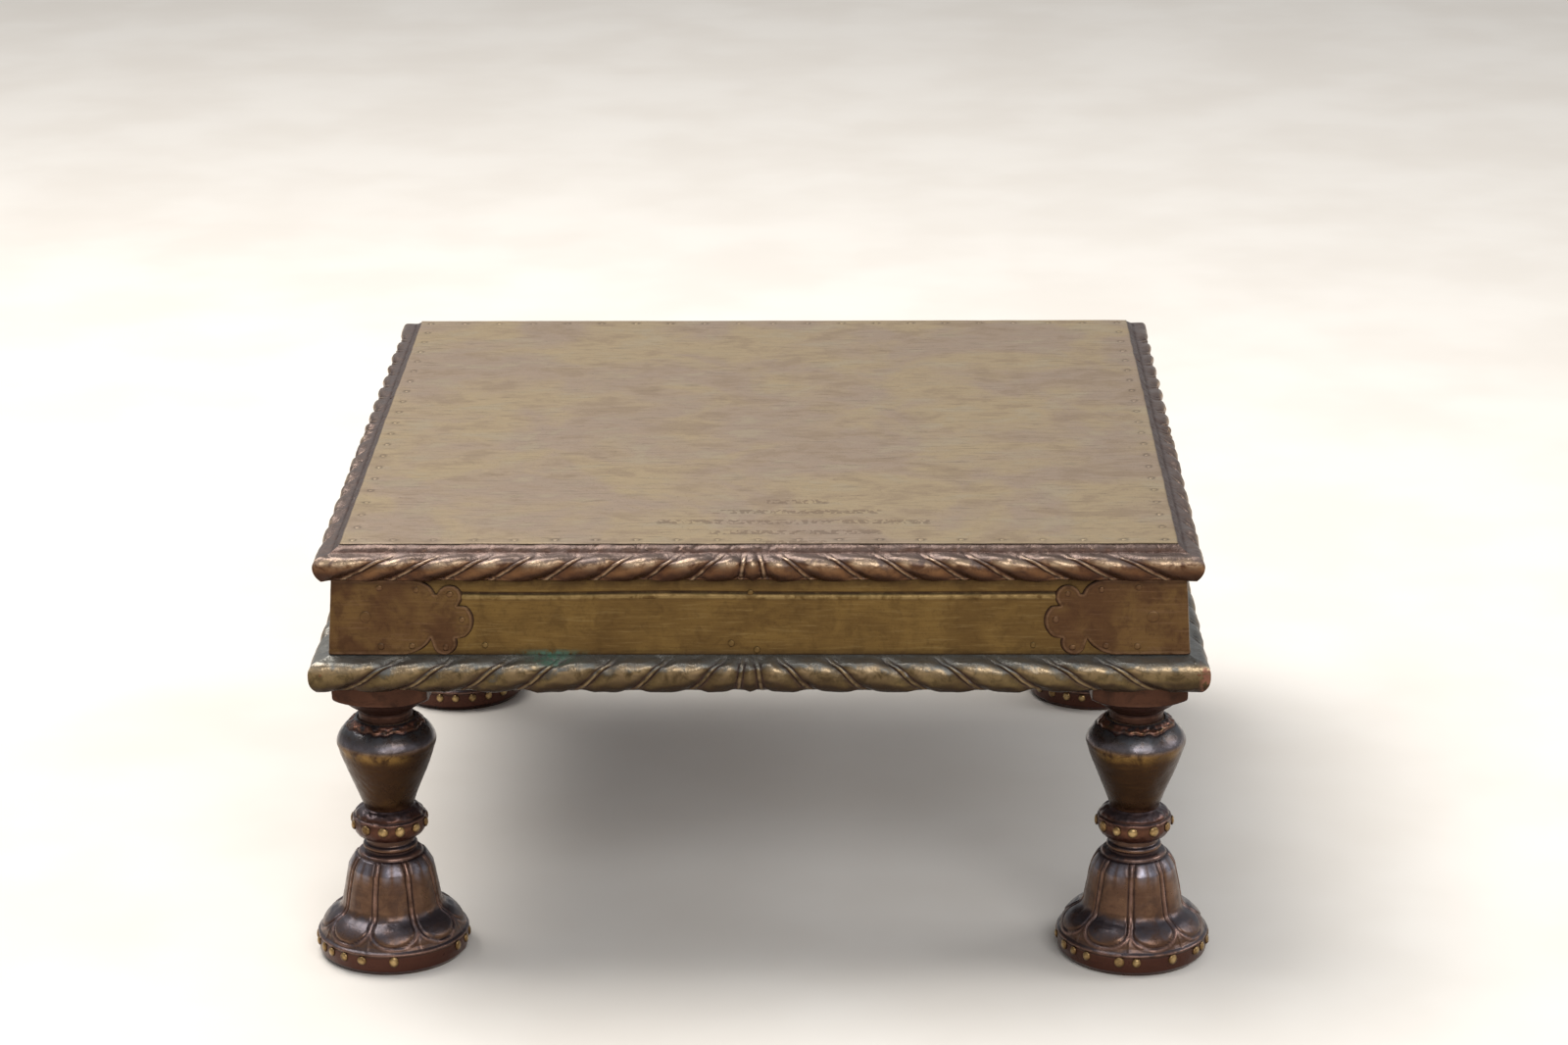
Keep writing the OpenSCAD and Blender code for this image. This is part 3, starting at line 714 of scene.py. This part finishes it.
def mouldings():
    upper_nose = (UPPER_HALF, SHEET_Z - 9.2)
    upper_crown = (UPPER_HALF - 5, SHEET_Z - 4)
    upper_toe = (UPPER_HALF - 4.2, FRAME_TOP_Z - SHEET_T)
    upper = [
        (PLANK_HALF, SHEET_Z),
        curve((UPPER_HALF - 9.5, SHEET_Z - 3.4), (UPPER_HALF - 8, SHEET_Z - 4.2), upper_crown),
        arc((upper_crown[0], upper_nose[1]), 5, 5.2, 75, 0),
        belly(upper_nose, upper_toe, 2),
        (FRIEZE_HALF - BATTER + 0.05, upper_toe[1]),
    ]
    lower_nose = (LOWER_HALF, FRIEZE_Z - 8.5)
    lower_toe = (LOWER_HALF - 4.5, FRAME_Z - SHEET_T)
    lower = [
        (FRAME_HALF, FRIEZE_Z),
        (FRAME_HALF + 3.5, FRIEZE_Z - 1.2),
        arc((LOWER_HALF - 5.5, lower_nose[1]), 5.5, 6.6, 90, 0),
        belly(lower_nose, lower_toe, 3),
        (FRAME_HALF, lower_toe[1]),
    ]
    bars = (
        Moulding("upper", upper, PLANK_HALF, -3, 37, 28.8, 8, 27, 2.6, (0.17, 0.92), 51),
        Moulding("lower", lower, FRAME_HALF, -5, 38, 33.2, 7, 25, 3.0, (0.05, 0.90), 61),
    )
    for bar in bars:
        for k in range(4):
            bar.build(k)


# ---- Frieze sheets ----
RIB_UP = 34.0


def frieze_face(x, up, lift):
    """A point on side 0's leaning face, lifted off the brass by lift."""
    half = FRIEZE_HALF - BATTER * up / FRIEZE_H + lift
    return np.stack([x, -half, FRIEZE_Z + up], -1)


def frieze_sheets():
    up = np.unique(np.concatenate([np.linspace(0, FRIEZE_H, 40), np.linspace(RIB_UP - 4, RIB_UP + 4, 24)]))
    share = np.linspace(-1, 1, 260)
    for k in range(4):
        half = FRIEZE_HALF - BATTER * up / FRIEZE_H
        x = half[:, None] * share[None, :]
        ups = np.repeat(up[:, None], len(share), 1)
        flat = frieze_face(x, ups, 0)
        here = turned(flat, k)
        open_part = 1 - smooth(abs(x), FRIEZE_HALF - 78, FRIEZE_HALF - 68)
        wander = RIB_UP + 0.5 * ripples(here * [1, 1, 0], 120, 70 + k)
        rib = 0.75 * bump(ups, wander, 1.5) - 0.55 * bump(ups, wander + 2.5, 0.6)
        uneven = 0.22 * ripples(here, 70, 71 + k) + 0.08 * ripples(here, 22, 75 + k)
        end = smooth(half[:, None] - abs(x), 0, 5)
        lift = open_part * rib + end * (uneven - 0.15) * smooth(ups, 0, 3)
        outer = frieze_face(np.where(abs(share) == 1, np.sign(x) * (half[:, None] + lift), x), ups, lift)
        inner = frieze_face(x[[0, -1]] * (1 - SHEET_T / FRIEZE_HALF), ups[[0, -1]], -SHEET_T)
        grid = np.concatenate([outer, inner[::-1]])
        # The notch above the rib gets painted shadow, and the rib a painted highlight with some wear.
        crease = open_part * bump(ups, wander + 2.4, 0.9)
        top_shadow = smooth(ups, FRIEZE_H - 9, FRIEZE_H - 1)
        # The foot of each sheet is drawn darker, where it meets the lower moulding.
        stain = 0.5 * (1 - smooth(ups, 0, 4))
        green = (k == 0) * bump(x, STAIN_X, 14) * (1 - smooth(ups, 1, 4)) * open_part
        values = {
            "verdigris": green,
            "groove": np.clip(crease + 0.7 * top_shadow + stain, 0, 1),
            "high": open_part * bump(ups, wander, 1.2),
        }
        name, node = f"frieze_brass_{SIDES[k]}", f"frieze_sheet_{SIDES[k]}"
        grid_piece(name, node, turned(grid, k), "frieze", values)


# ---- Corner plates ----
PLATE_REACH = 84


def leaf_outline():
    """One leaf's edge as (distance from the corner, height), from the top of the fold to its foot."""
    points = [
        curve((44, PLATE_H), (56, 44.4), (59.6, 35.8)),
        arc((68, 34), 7, 7, 165, -45, 20),
        arc((70.5, 19.5), 11.5, 11.5, 52, -54, 20),
        arc((66.5, 6.7), 6.7, 6.7, 25, -150, 20),
        curve((58.4, 9.6), (55, 2), (44, 0)),
    ]
    return np.concatenate(points)


def plate_mesh():
    """A plate laid flat: its points, triangles, rim edges and each point's distance from the rim."""
    leaf = leaf_outline()
    top = np.stack([np.linspace(-41, 41, 30), np.full(30, PLATE_H)], 1)
    foot = np.stack([np.linspace(41, -41, 30), np.zeros(30)], 1)
    edge = np.concatenate([top, leaf, foot, (leaf * [-1, 1])[::-1]])
    starts, ends = edge, np.roll(edge, -1, 0)

    def edge_gap(points):
        d = ends - starts
        t = np.clip(((points[:, None] - starts) * d).sum(-1) / (d ** 2).sum(-1), 0, 1)
        return np.linalg.norm(points[:, None] - starts - t[..., None] * d, axis=-1).min(1)

    def inside(points):
        x, y = points[:, :1], points[:, 1:]
        cross = (starts[:, 1] > y) != (ends[:, 1] > y)
        with np.errstate(divide="ignore", invalid="ignore"):
            share = (y - starts[:, 1]) / (ends[:, 1] - starts[:, 1])
            at = starts[:, 0] + share * (ends[:, 0] - starts[:, 0])
        return (cross & (x < at)).sum(1) % 2 == 1

    def lattice(across, heights):
        return np.stack(np.meshgrid(across, heights), -1).reshape(-1, 2)

    fine, coarse = (
        lattice(np.arange(-PLATE_REACH, PLATE_REACH + 0.1, step), np.arange(0, PLATE_H + 0.1, step))
        for step in (0.8, 2.4)
    )
    fine_gap, coarse_gap = edge_gap(fine), edge_gap(coarse)
    folds = lattice([-2.4, -1.2, -0.6, 0, 0.6, 1.2, 2.4], np.arange(1, 44, 1.2))
    filling = np.concatenate([
        fine[(fine_gap > 0.45) & (fine_gap < 3.4) & inside(fine)],
        coarse[(coarse_gap >= 3.6) & inside(coarse) & (abs(coarse[:, 0]) > 3.2)],
        folds[edge_gap(folds) > 0.5],
    ])
    points = np.concatenate([edge, filling])
    count = len(edge)
    loop = [(i, (i + 1) % count) for i in range(count)]
    cut = geometry.delaunay_2d_cdt([Vector(p) for p in points], loop, [list(range(count))], 1, 1e-4)
    plan = np.array([tuple(p) for p in cut[0]])
    triangles = [tuple(f) for f in cut[2]]
    uses = {}
    for f in triangles:
        for a, b in zip(f, f[1:] + f[:1]):
            uses[(a, b)] = uses.get((a, b), 0) + 1
    rim = [(a, b) for a, b in uses if (b, a) not in uses]
    return plan, triangles, rim, edge_gap(plan)


def corner_plates():
    """The scalloped plates, folded round each corner, with raised rims."""
    gap, rounding = 0.1, 1.6
    tall = (FRIEZE_H - SHEET_T - 2 * gap) / PLATE_H
    plan, triangles, rim, from_edge = plate_mesh()
    size = len(plan)
    for k in range(4):
        s, up = plan[:, 0], plan[:, 1] * tall + gap
        raised = 0.24 * bump(from_edge, 0.9, 0.55) - 0.10 * bump(from_edge, 2.0, 0.5)
        side = np.hypot(s, rounding)
        seed_points = np.stack([s, s * 0 + 50 * k, up], -1)
        uneven = 0.16 * ripples(seed_points, 34, 80 + k) + 0.06 * ripples(seed_points, 9, 84 + k)
        layers = []
        for lift in (SHEET_T + raised * (abs(s) > 3) + uneven * smooth(from_edge, 0, 5), 0.05 + 0 * s):
            half = FRIEZE_HALF - BATTER * up / FRIEZE_H + lift
            layers.append(np.stack([-half + (side + s) / 2, -half + (side - s) / 2, FRIEZE_Z + up], -1))
        faces = [list(f) for f in triangles] + [[i + size for i in f[::-1]] for f in triangles]
        faces += [[b, a, a + size, b + size] for a, b in rim]
        shadow = 0.6 * smooth(up, FRIEZE_H - 8, FRIEZE_H)
        # Dark in the hollow inside the rim and along the cut edge, with painted shadow near the top.
        groove = np.clip(0.25 * bump(from_edge, 2.0, 0.5) + 0.7 * (from_edge < 0.2) + shadow, 0, 1)
        # The raised rim gets a painted highlight, with some wear.
        values = {"groove": groove, "high": 0.7 * bump(from_edge, 0.9, 0.6)}
        vertices = turned(np.concatenate(layers), k)
        piece = make_mesh(f"scalloped_plate_{CORNERS[k]}", vertices, faces, MATERIALS["plate"], values)
        stand_in(piece, f"corner_plate_{CORNERS[k]}")


# ---- Nails on the sides ----
PLATE_NAILS = ((29.6, 39.6), (50.5, 38.4), (69.6, 35.9), (76.2, 20.8), (66.6, 4.4), (47.5, 5.3), (29.8, 5))
BOSS = (21.2, 22.5)
FRIEZE_NAILS = ((-156, 5.5), (-15.5, 6.5), (-1, 2.6), (-4.5, 36.5), (156, 5.5))


def side_places(spots, lift):
    """Places and outward axes of spots (x, height) on all four sides."""
    lean = math.atan2(BATTER, FRIEZE_H)
    axis = np.array([0, -math.cos(lean), math.sin(lean)])
    x, up = np.array(spots, float).T
    points = frieze_face(x, up, lift)
    places = np.concatenate([turned(points, k) for k in range(4)])
    axes = np.concatenate([turned(np.repeat(axis[None], len(points), 0), k) for k in range(4)])
    return places, axes


def both_leaves(spots):
    return [(sign * (FRIEZE_HALF - s), up) for s, up in spots for sign in (-1, 1)]


def side_nails():
    """The nails and bosses of the frieze and plates, and the small nails of the mouldings."""
    nail = (1.9, 1.9)
    places = side_places(FRIEZE_NAILS, 0)
    domes("frieze_nail_heads", "nail_brass", "frieze_nails", *places, nail, 0.6, "frieze", 32, 0.3)
    places = side_places(both_leaves(PLATE_NAILS), SHEET_T)
    domes("plate_nail_heads", "nail_brass", "corner_plate_nails", *places, nail, 0.6, "plate", 33, 0.4)
    places = side_places(both_leaves([BOSS]), SHEET_T)
    domes("plate_bosses", "plate_brass", "corner_bosses", *places, (3.4, 3.4), 0.5, "plate", 34, 0.1)
    crown = [(42 * (i - 4.5), -(PLANK_HALF + 2.6), SHEET_Z - 1.7) for i in range(10)]
    nose = [(x, -(LOWER_HALF - 0.2), FRIEZE_Z - 8.5) for x in (7 - LOWER_HALF, LOWER_HALF - 7)]
    axis = np.array([(0, -0.6, 0.8)] * len(crown) + [(0, -1.0, 0)] * len(nose))
    places = [np.concatenate([turned(row, k) for k in range(4)]) for row in (np.array(crown + nose), axis)]
    domes("moulding_nail_heads", "nail_brass", "moulding_nails", *places, (1.2, 1.2), 0.3, "upper", 35, 0.1)


# ---- Legs ----
SQUARENESS = 60.0


def leg_centre(k):
    return turned(np.array([-LEG_X, -LEG_X, 0.0]), k)


def around(k, radius, height, angles):
    """Points round leg k, each row at its own radius and height."""
    x, y = leg_centre(k)[:2]
    return np.stack([x + radius * np.cos(angles), y + radius * np.sin(angles), height + 0 * angles], -1)


def leg_grid(k, path, relief, angles, inner_rows=8):
    """A turned skin with relief: outer rows from the top down, then inner rows back up."""
    normal = outward(path)
    lift = relief[..., None] * normal[:, None]
    outer = around(k, path[:, :1] + lift[..., 0], path[:, 1:] + lift[..., 1], angles)
    pick = np.linspace(0, len(path) - 1, inner_rows).round().astype(int)[::-1]
    less = path[pick] - normal[pick] * SHEET_T
    return np.concatenate([outer, around(k, less[:, :1], less[:, 1:], angles)])


def leg_piece(k, name, part, grid, values):
    corner = CORNERS[k]
    grid_piece(f"leg_{name}_{corner}", f"{part}_skin_{corner}", grid, part, values, wrap=True)


def even_angles(count):
    return np.linspace(0, 2 * math.pi, count, endpoint=False)


def block_skin(k):
    """The square sheath, drawn in below to the round neck."""
    angles = even_angles(280)
    path = resample([
        (41, FRAME_Z),
        curve((41, 169.5), (38, 163), (27.6, 161)),
        curve((26, 159.8), (23, 155.6), (17.4, 153)),
        (NECK_R, 151.4), (NECK_R, NECK_END_Z),
    ], 96)
    square = abs(np.cos(angles)) ** SQUARENESS + abs(np.sin(angles)) ** SQUARENESS
    square = BLOCK_HALF / square ** (1 / SQUARENESS)
    radius = (square ** -SQUARENESS + path[:, :1] ** -SQUARENESS) ** (-1 / SQUARENESS)
    here = around(k, path[:, :1], path[:, 1:], angles)
    z = here[..., 2]
    rings = 0.30 * bump(z, 153.5, 0.5) - 0.20 * bump(z, 151.0, 0.5) + 0.20 * bump(z, 149.6, 0.6)
    radius = radius + 0.20 * ripples(here, 15, 90 + k) + 0.07 * ripples(here, 5, 94 + k) - 0.12 + rings
    pick = np.linspace(0, len(path) - 1, 14).round().astype(int)[::-1]
    grid = np.concatenate([around(k, radius, z, angles), around(k, radius[pick] - SHEET_T, z[pick], angles)])
    # Painted shade on the underside where the sheath draws in; the neck is drawn darker below z 149, where
    # it enters the vase.
    under = smooth(z, 162, 159.5) * 0.35
    values = {
        "groove": np.clip(under + 0.7 * bump(z, 151.0, 0.8) + 0.4 * (1 - smooth(z, 146, 149)), 0, 1),
        "high": 0.5 * bump(z, 153.5, 0.8) + 0.4 * bump(z, 149.6, 0.6) + 0.25 * bump(z, 161.6, 0.7),
    }
    leg_piece(k, "sheath", "block", grid, values)


def vase_skin(k):
    """The tapering vase, with a torn lip around the neck."""
    angles = even_angles(220)
    path = resample([
        (16.8, NECK_END_Z),
        curve((17.6, 145.8), (27, 139.6), (VASE_R - 0.1, 133)),
        curve((VASE_R, 131.8), (VASE_R, 130.4), (VASE_R - 0.7, 128.8)),
        curve((VASE_R - 1.2, 127), (VASE_R - 2.6, 121.5), (21.3, 109.4)),
        curve((20.3, 107), (17.2, 99.5), (VASE_END_R + 0.3, VASE_END_Z + 1.6)),
        (VASE_END_R, VASE_END_Z),
    ], 110)
    here = around(k, path[:, :1], path[:, 1:], angles)
    z = here[..., 2]
    ragged = z + 0.7 * ripples(here * [1, 1, 0], 8, 116 + k)
    lip = smooth(ragged, 142.4, 143.2) * (1 - smooth(z, 145, 146))
    relief = 0.16 * ripples(here, 17, 100 + k) + 0.05 * ripples(here, 5, 104 + k)
    relief += lip * (0.45 + 0.35 * ripples(here, 6, 108 + k) + 0.22 * ripples(here, 2.6, 112 + k))
    relief -= 0.35 * bump(ragged, 142.2, 0.4) + 0.2 * bump(ragged, 144.2, 0.4)
    relief *= smooth(z, VASE_END_Z, VASE_END_Z + 3)
    grid = leg_grid(k, path, relief, angles)
    foot = 1 - smooth(z, VASE_END_Z, VASE_END_Z + 5)
    # A painted highlight round the widest part, broken into patches, and a painted grey sheen on the
    # shoulder; the foot is drawn darker and the torn edge shows wear.
    patchy = smooth(ripples(here, 34, 117 + k), -0.6, 0.5)
    values = {
        "groove": np.clip(0.4 * lip + bump(ragged, 142.2, 0.5) + 0.6 * foot, 0, 1),
        "bare": 0.75 * lip,
        "high": 0.6 * bump(z, 129.6, 3.4) * patchy + 0.5 * bump(ragged, 143.5, 0.4),
        "pale": 0.45 * bump(z, 134.6, 2.4),
    }
    leg_piece(k, "vase", "vase", grid, values)


def ring_skin(k):
    """The thick ring, with a raised line above its studs and a lumpy shoulder."""
    angles = even_angles(200)
    path = resample([
        (VASE_END_R, VASE_END_Z),
        arc((RING_R - 7.3, RING_Z), 7.3, 9, 82, -82, 40),
        (RING_END_R, RING_END_Z),
    ], 64)
    here = around(k, path[:, :1], path[:, 1:], angles)
    z = here[..., 2]
    line_z = RING_Z + 3.6 + 0.3 * ripples(here * [1, 1, 0], 12, 128 + k)
    lift = 0.45 * bump(z, line_z, 0.55) - 0.40 * bump(z, line_z + 1.4, 0.6)
    above = smooth(z, line_z, line_z + 2)
    relief = (0.15 + 0.20 * above) * ripples(here, 7, 120 + k) + 0.07 * ripples(here, 3, 124 + k) - 0.1
    relief = (relief + lift) * smooth(path[:, :1], RING_END_R + 0.3, RING_END_R + 2.5)
    grid = leg_grid(k, path, relief, angles)
    values = {
        "groove": np.clip(bump(z, line_z + 1.5, 0.8) + 0.6 * bump(z, line_z - 1.2, 0.7), 0, 1),
        "high": 0.8 * bump(z, line_z, 0.7),
    }
    leg_piece(k, "ring", "ring", grid, values)


PETALS = 8
PETAL_TURNS = (-105.6, -95.8, 62, 171)
STRIP = 1.9
STRIP_RADIUS = 27
STRIP_STEPS = (0, 0.5, 0.9, 1.25, 1.55, 1.85, 2.15, 2.5, 3, 3.8, 5, 6.6, 8.6)


def bell_skin(k):
    """The bell: eight petals between raised ribs, their tips curling out over the foot."""
    path = resample([
        (RING_END_R, RING_END_Z), (RING_END_R, 69.6),
        arc((RING_END_R - 0.2, 66.8), 2.4, 2, 75, -60, 16),
        curve((15.6, 64), (20.6, 62.6), (24.4, 54.4)),
        curve((24.8, 52), (26.6, 43), (28.2, 34)),
        curve((28.3, 33), (28.9, 28.8), (33, 26.6)),
        curve((34, 26), (40, 22), (FOOT_R - 2.4, 16.8)),
        arc((FOOT_R - 1.9, 13), 1.9, 2, 70, 0, 8),
        (FOOT_R, 7.5), (FOOT_R - 0.5, 3.2), (FOOT_END_R, BELL_END_Z),
    ], 190)
    along = np.concatenate([[0], np.cumsum(np.linalg.norm(np.diff(path, axis=0), axis=1))])
    tip, rim, start, bend = (np.interp(-z, -path[:, 1], along) for z in (17.3, 13.4, 61.4, 28))
    pitch = 2 * math.pi / PETALS
    steps = np.array(STRIP_STEPS) / STRIP_RADIUS / pitch
    share = np.concatenate([steps, [0.5], 1 - steps[:0:-1]])
    angles = np.concatenate([(i + share) * pitch for i in range(PETALS)]) + math.radians(PETAL_TURNS[k])
    off = np.concatenate([np.minimum(share, 1 - share)] * PETALS) * pitch
    radius, s = path[:, :1], along[:, None]
    here = around(k, path[:, :1], path[:, 1:], angles)
    z = here[..., 2]
    middle = (pitch / 2 - off) * radius
    half = pitch / 2 * radius - STRIP
    tip_length = 10.5
    deep = np.clip((s - tip + tip_length) / tip_length, 0, None)
    wide = middle / half
    reach = np.maximum(np.hypot(deep, wide), 1e-6)
    slope = np.hypot(deep / tip_length, wide / half)
    edge = (1 - reach) * reach / np.maximum(slope, 1e-6) + 0.18 * ripples(here, 14, 138 + k)
    zone = smooth(s, start - 1, start + 1.5) * (1 - smooth(s, rim - 2.2, rim - 1))
    curl = smooth(s, bend, tip - 3)
    petal = (0.30 + 0.25 * curl) * smooth(edge, 0, 1.1) + 0.30 * smooth(edge, 1, 9) * (1 - curl)
    crease = -0.38 * bump(edge, -0.25, 0.40)
    rib = (0.48 - 0.10 * curl) * bump(edge, -STRIP + 0.1, 0.80)
    dart = 0.35 * curl * bump(off * radius, 0, 0.7) * (edge < -2.6)
    relief = zone * (petal + crease + rib + dart)
    relief += 0.45 * bump(z, 62.9, 0.6) - 0.35 * bump(z, 61.7, 0.5) - 0.30 * bump(z, 64.6, 0.5)
    relief += 0.50 * bump(s, rim, 0.7) - 0.25 * bump(s, rim + 1.5, 0.6)
    patchy = 0.13 * ripples(here, 13, 130 + k) + 0.05 * ripples(here, 4.5, 134 + k)
    relief += patchy * smooth(z, BELL_END_Z, 4) * smooth(s, 0, 2)
    grid = leg_grid(k, path, relief, angles, 28)
    # The neck above z 68, under the ring, is drawn dark.
    rings = bump(z, 61.7, 0.6) + bump(z, 64.6, 0.6) + 0.6 * smooth(z, 68, 70)
    ribs = zone * bump(edge, -STRIP, 0.8)
    # Dark creases along the petal edges: hollows, and painted shadow under the lifted petal tips.
    creases = zone * (bump(edge, -0.2, 0.5) + 0.5 * bump(edge, -3.2, 0.5) * curl)
    values = {
        "groove": np.clip(creases + rings + 0.8 * bump(s, rim + 1.5, 0.7), 0, 1),
        "high": np.clip(ribs + bump(z, 62.9, 0.7) + bump(s, rim, 0.7), 0, 1) * 0.85,
        "red": smooth(s, rim + 0.8, rim + 2.5) * 0.85 + 0 * angles,
        # Painted highlight: a grey sheen on the tops of the petals.
        "pale": 0.75 * zone * smooth(edge, 0.5, 4) * bump(z, 56, 4.5),
    }
    leg_piece(k, "bell", "bell", grid, values)


# Places of the hand-set studs round each leg, in degrees; legs 0 and 2 take the first list
RING_TURNS = (
    (-123, -94, -68, -39, -10, 20, 51, 80, 111, 141, 172, 204),
    (-239, -211, -186, -152, -122, -92, -61, -32, -2, 29, 59, 90),
)
FOOT_TURNS = (
    (-150, -139, -125, -109, -84, -26, -11, 4, 19, 33, 49, 64, 78, 93, 109, 124, 138, 153, 168, 183, 196),
    (
        -247, -234, -220, -193, -180, -151, -126, -116, -102, -87, -72,
        -56, -28, -13, 1, 16, 31, 47, 61, 76, 91,
    ),
)


def studs(name, node, turns, radius, height, size, seed):
    """Pale heads set by hand round every leg, showing wear, with a painted highlight on each crown."""
    places, axes = [], []
    for k in range(4):
        for turn in turns[k % 2]:
            t = math.radians(turn + 90 * k)
            axis = np.array([math.cos(t), math.sin(t), 0])
            places.append(leg_centre(k) + radius * axis + [0, 0, height])
            axes.append(axis)
    domes(name, "stud_brass", node, places, axes, size, 1.5, "stud", seed)


def legs():
    for k in range(4):
        block_skin(k)
        vase_skin(k)
        ring_skin(k)
        bell_skin(k)
    studs("ring_stud_heads", "ring_studs", RING_TURNS, RING_R, RING_Z, (2.9, 3.1), 36)
    studs("foot_stud_heads", "foot_studs", FOOT_TURNS, FOOT_R, FOOT_STUD_Z, (2.9, 3.0), 37)


# ---- The rest of the frame keeps its CAD shape ----
def wooden_nodes():
    for name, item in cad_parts.items():
        if name.startswith(("top_plank", "apron_rail", "leg_", "joinery")):
            upright = name.startswith(("leg_", "joinery"))
            across = name in ("apron_rail_left", "apron_rail_right")
            item.data.materials.clear()
            item.data.materials.append(MATERIALS["wood_z" if upright else "wood_y" if across else "wood_x"])


# ---- Stage ----
def look_at_table():
    """The camera: long lens, a little right of the middle, looking down on the front."""
    place = Vector((55.8, -2477.7, 1004.6)) * MM
    yaw, down, roll = (math.radians(a) for a in (1.05, 18.15, -0.37))
    right = Vector((math.cos(yaw), math.sin(yaw), 0))
    ahead = Vector((-math.sin(yaw) * math.cos(down), math.cos(yaw) * math.cos(down), -math.sin(down)))
    level = Matrix((right, right.cross(ahead), -ahead)).transposed()
    camera = bpy.data.cameras.new("camera")
    camera.lens = 95.74
    camera.sensor_width = 36
    item = bpy.data.objects.new("camera", camera)
    item.matrix_world = Matrix.Translation(place) @ (level @ Matrix.Rotation(roll, 3, "Z")).to_4x4()
    bpy.context.scene.collection.objects.link(item)
    bpy.context.scene.camera = item


def soft_light(name, place, size, power, colour=(1, 1, 1)):
    light = bpy.data.lights.new(name, "AREA")
    light.shape = "RECTANGLE"
    light.size, light.size_y = size
    light.energy = power
    light.color = colour
    item = bpy.data.objects.new(name, light)
    item.location = place
    item.rotation_euler = (Vector((0, 0, 0.15)) - Vector(place)).to_track_quat("-Z", "Y").to_euler()
    bpy.context.scene.collection.objects.link(item)


def studio():
    reach = 6.0
    mesh = bpy.data.meshes.new("floor")
    corners = [(-reach, -reach, 0), (reach, -reach, 0), (reach, reach, 0), (-reach, reach, 0)]
    mesh.from_pydata(corners, [], [(0, 1, 2, 3)])
    mesh.materials.append(pale_floor())
    floor = bpy.data.objects.new("floor", mesh)
    bpy.context.scene.collection.objects.link(floor)
    world = bpy.data.worlds.new("studio")
    world.use_nodes = True
    world.node_tree.nodes["Background"].inputs["Color"].default_value = (0.93, 0.96, 1.0, 1)
    world.node_tree.nodes["Background"].inputs["Strength"].default_value = 0.45
    bpy.context.scene.world = world
    soft_light("key", (-0.9, 0.5, 2.6), (2.0, 2.0), 100, (1, 0.98, 0.95))
    soft_light("front", (0.8, -2.8, 2.0), (2.2, 1.4), 50, (0.96, 0.98, 1))
    soft_light("right", (2.8, 0.0, 1.5), (1.6, 1.2), 28, (0.96, 0.98, 1))
    bpy.context.scene.view_settings.view_transform = "Standard"


look_at_table()
studio()
top_sheet()
top_nails()
mouldings()
frieze_sheets()
corner_plates()
side_nails()
legs()
wooden_nodes()
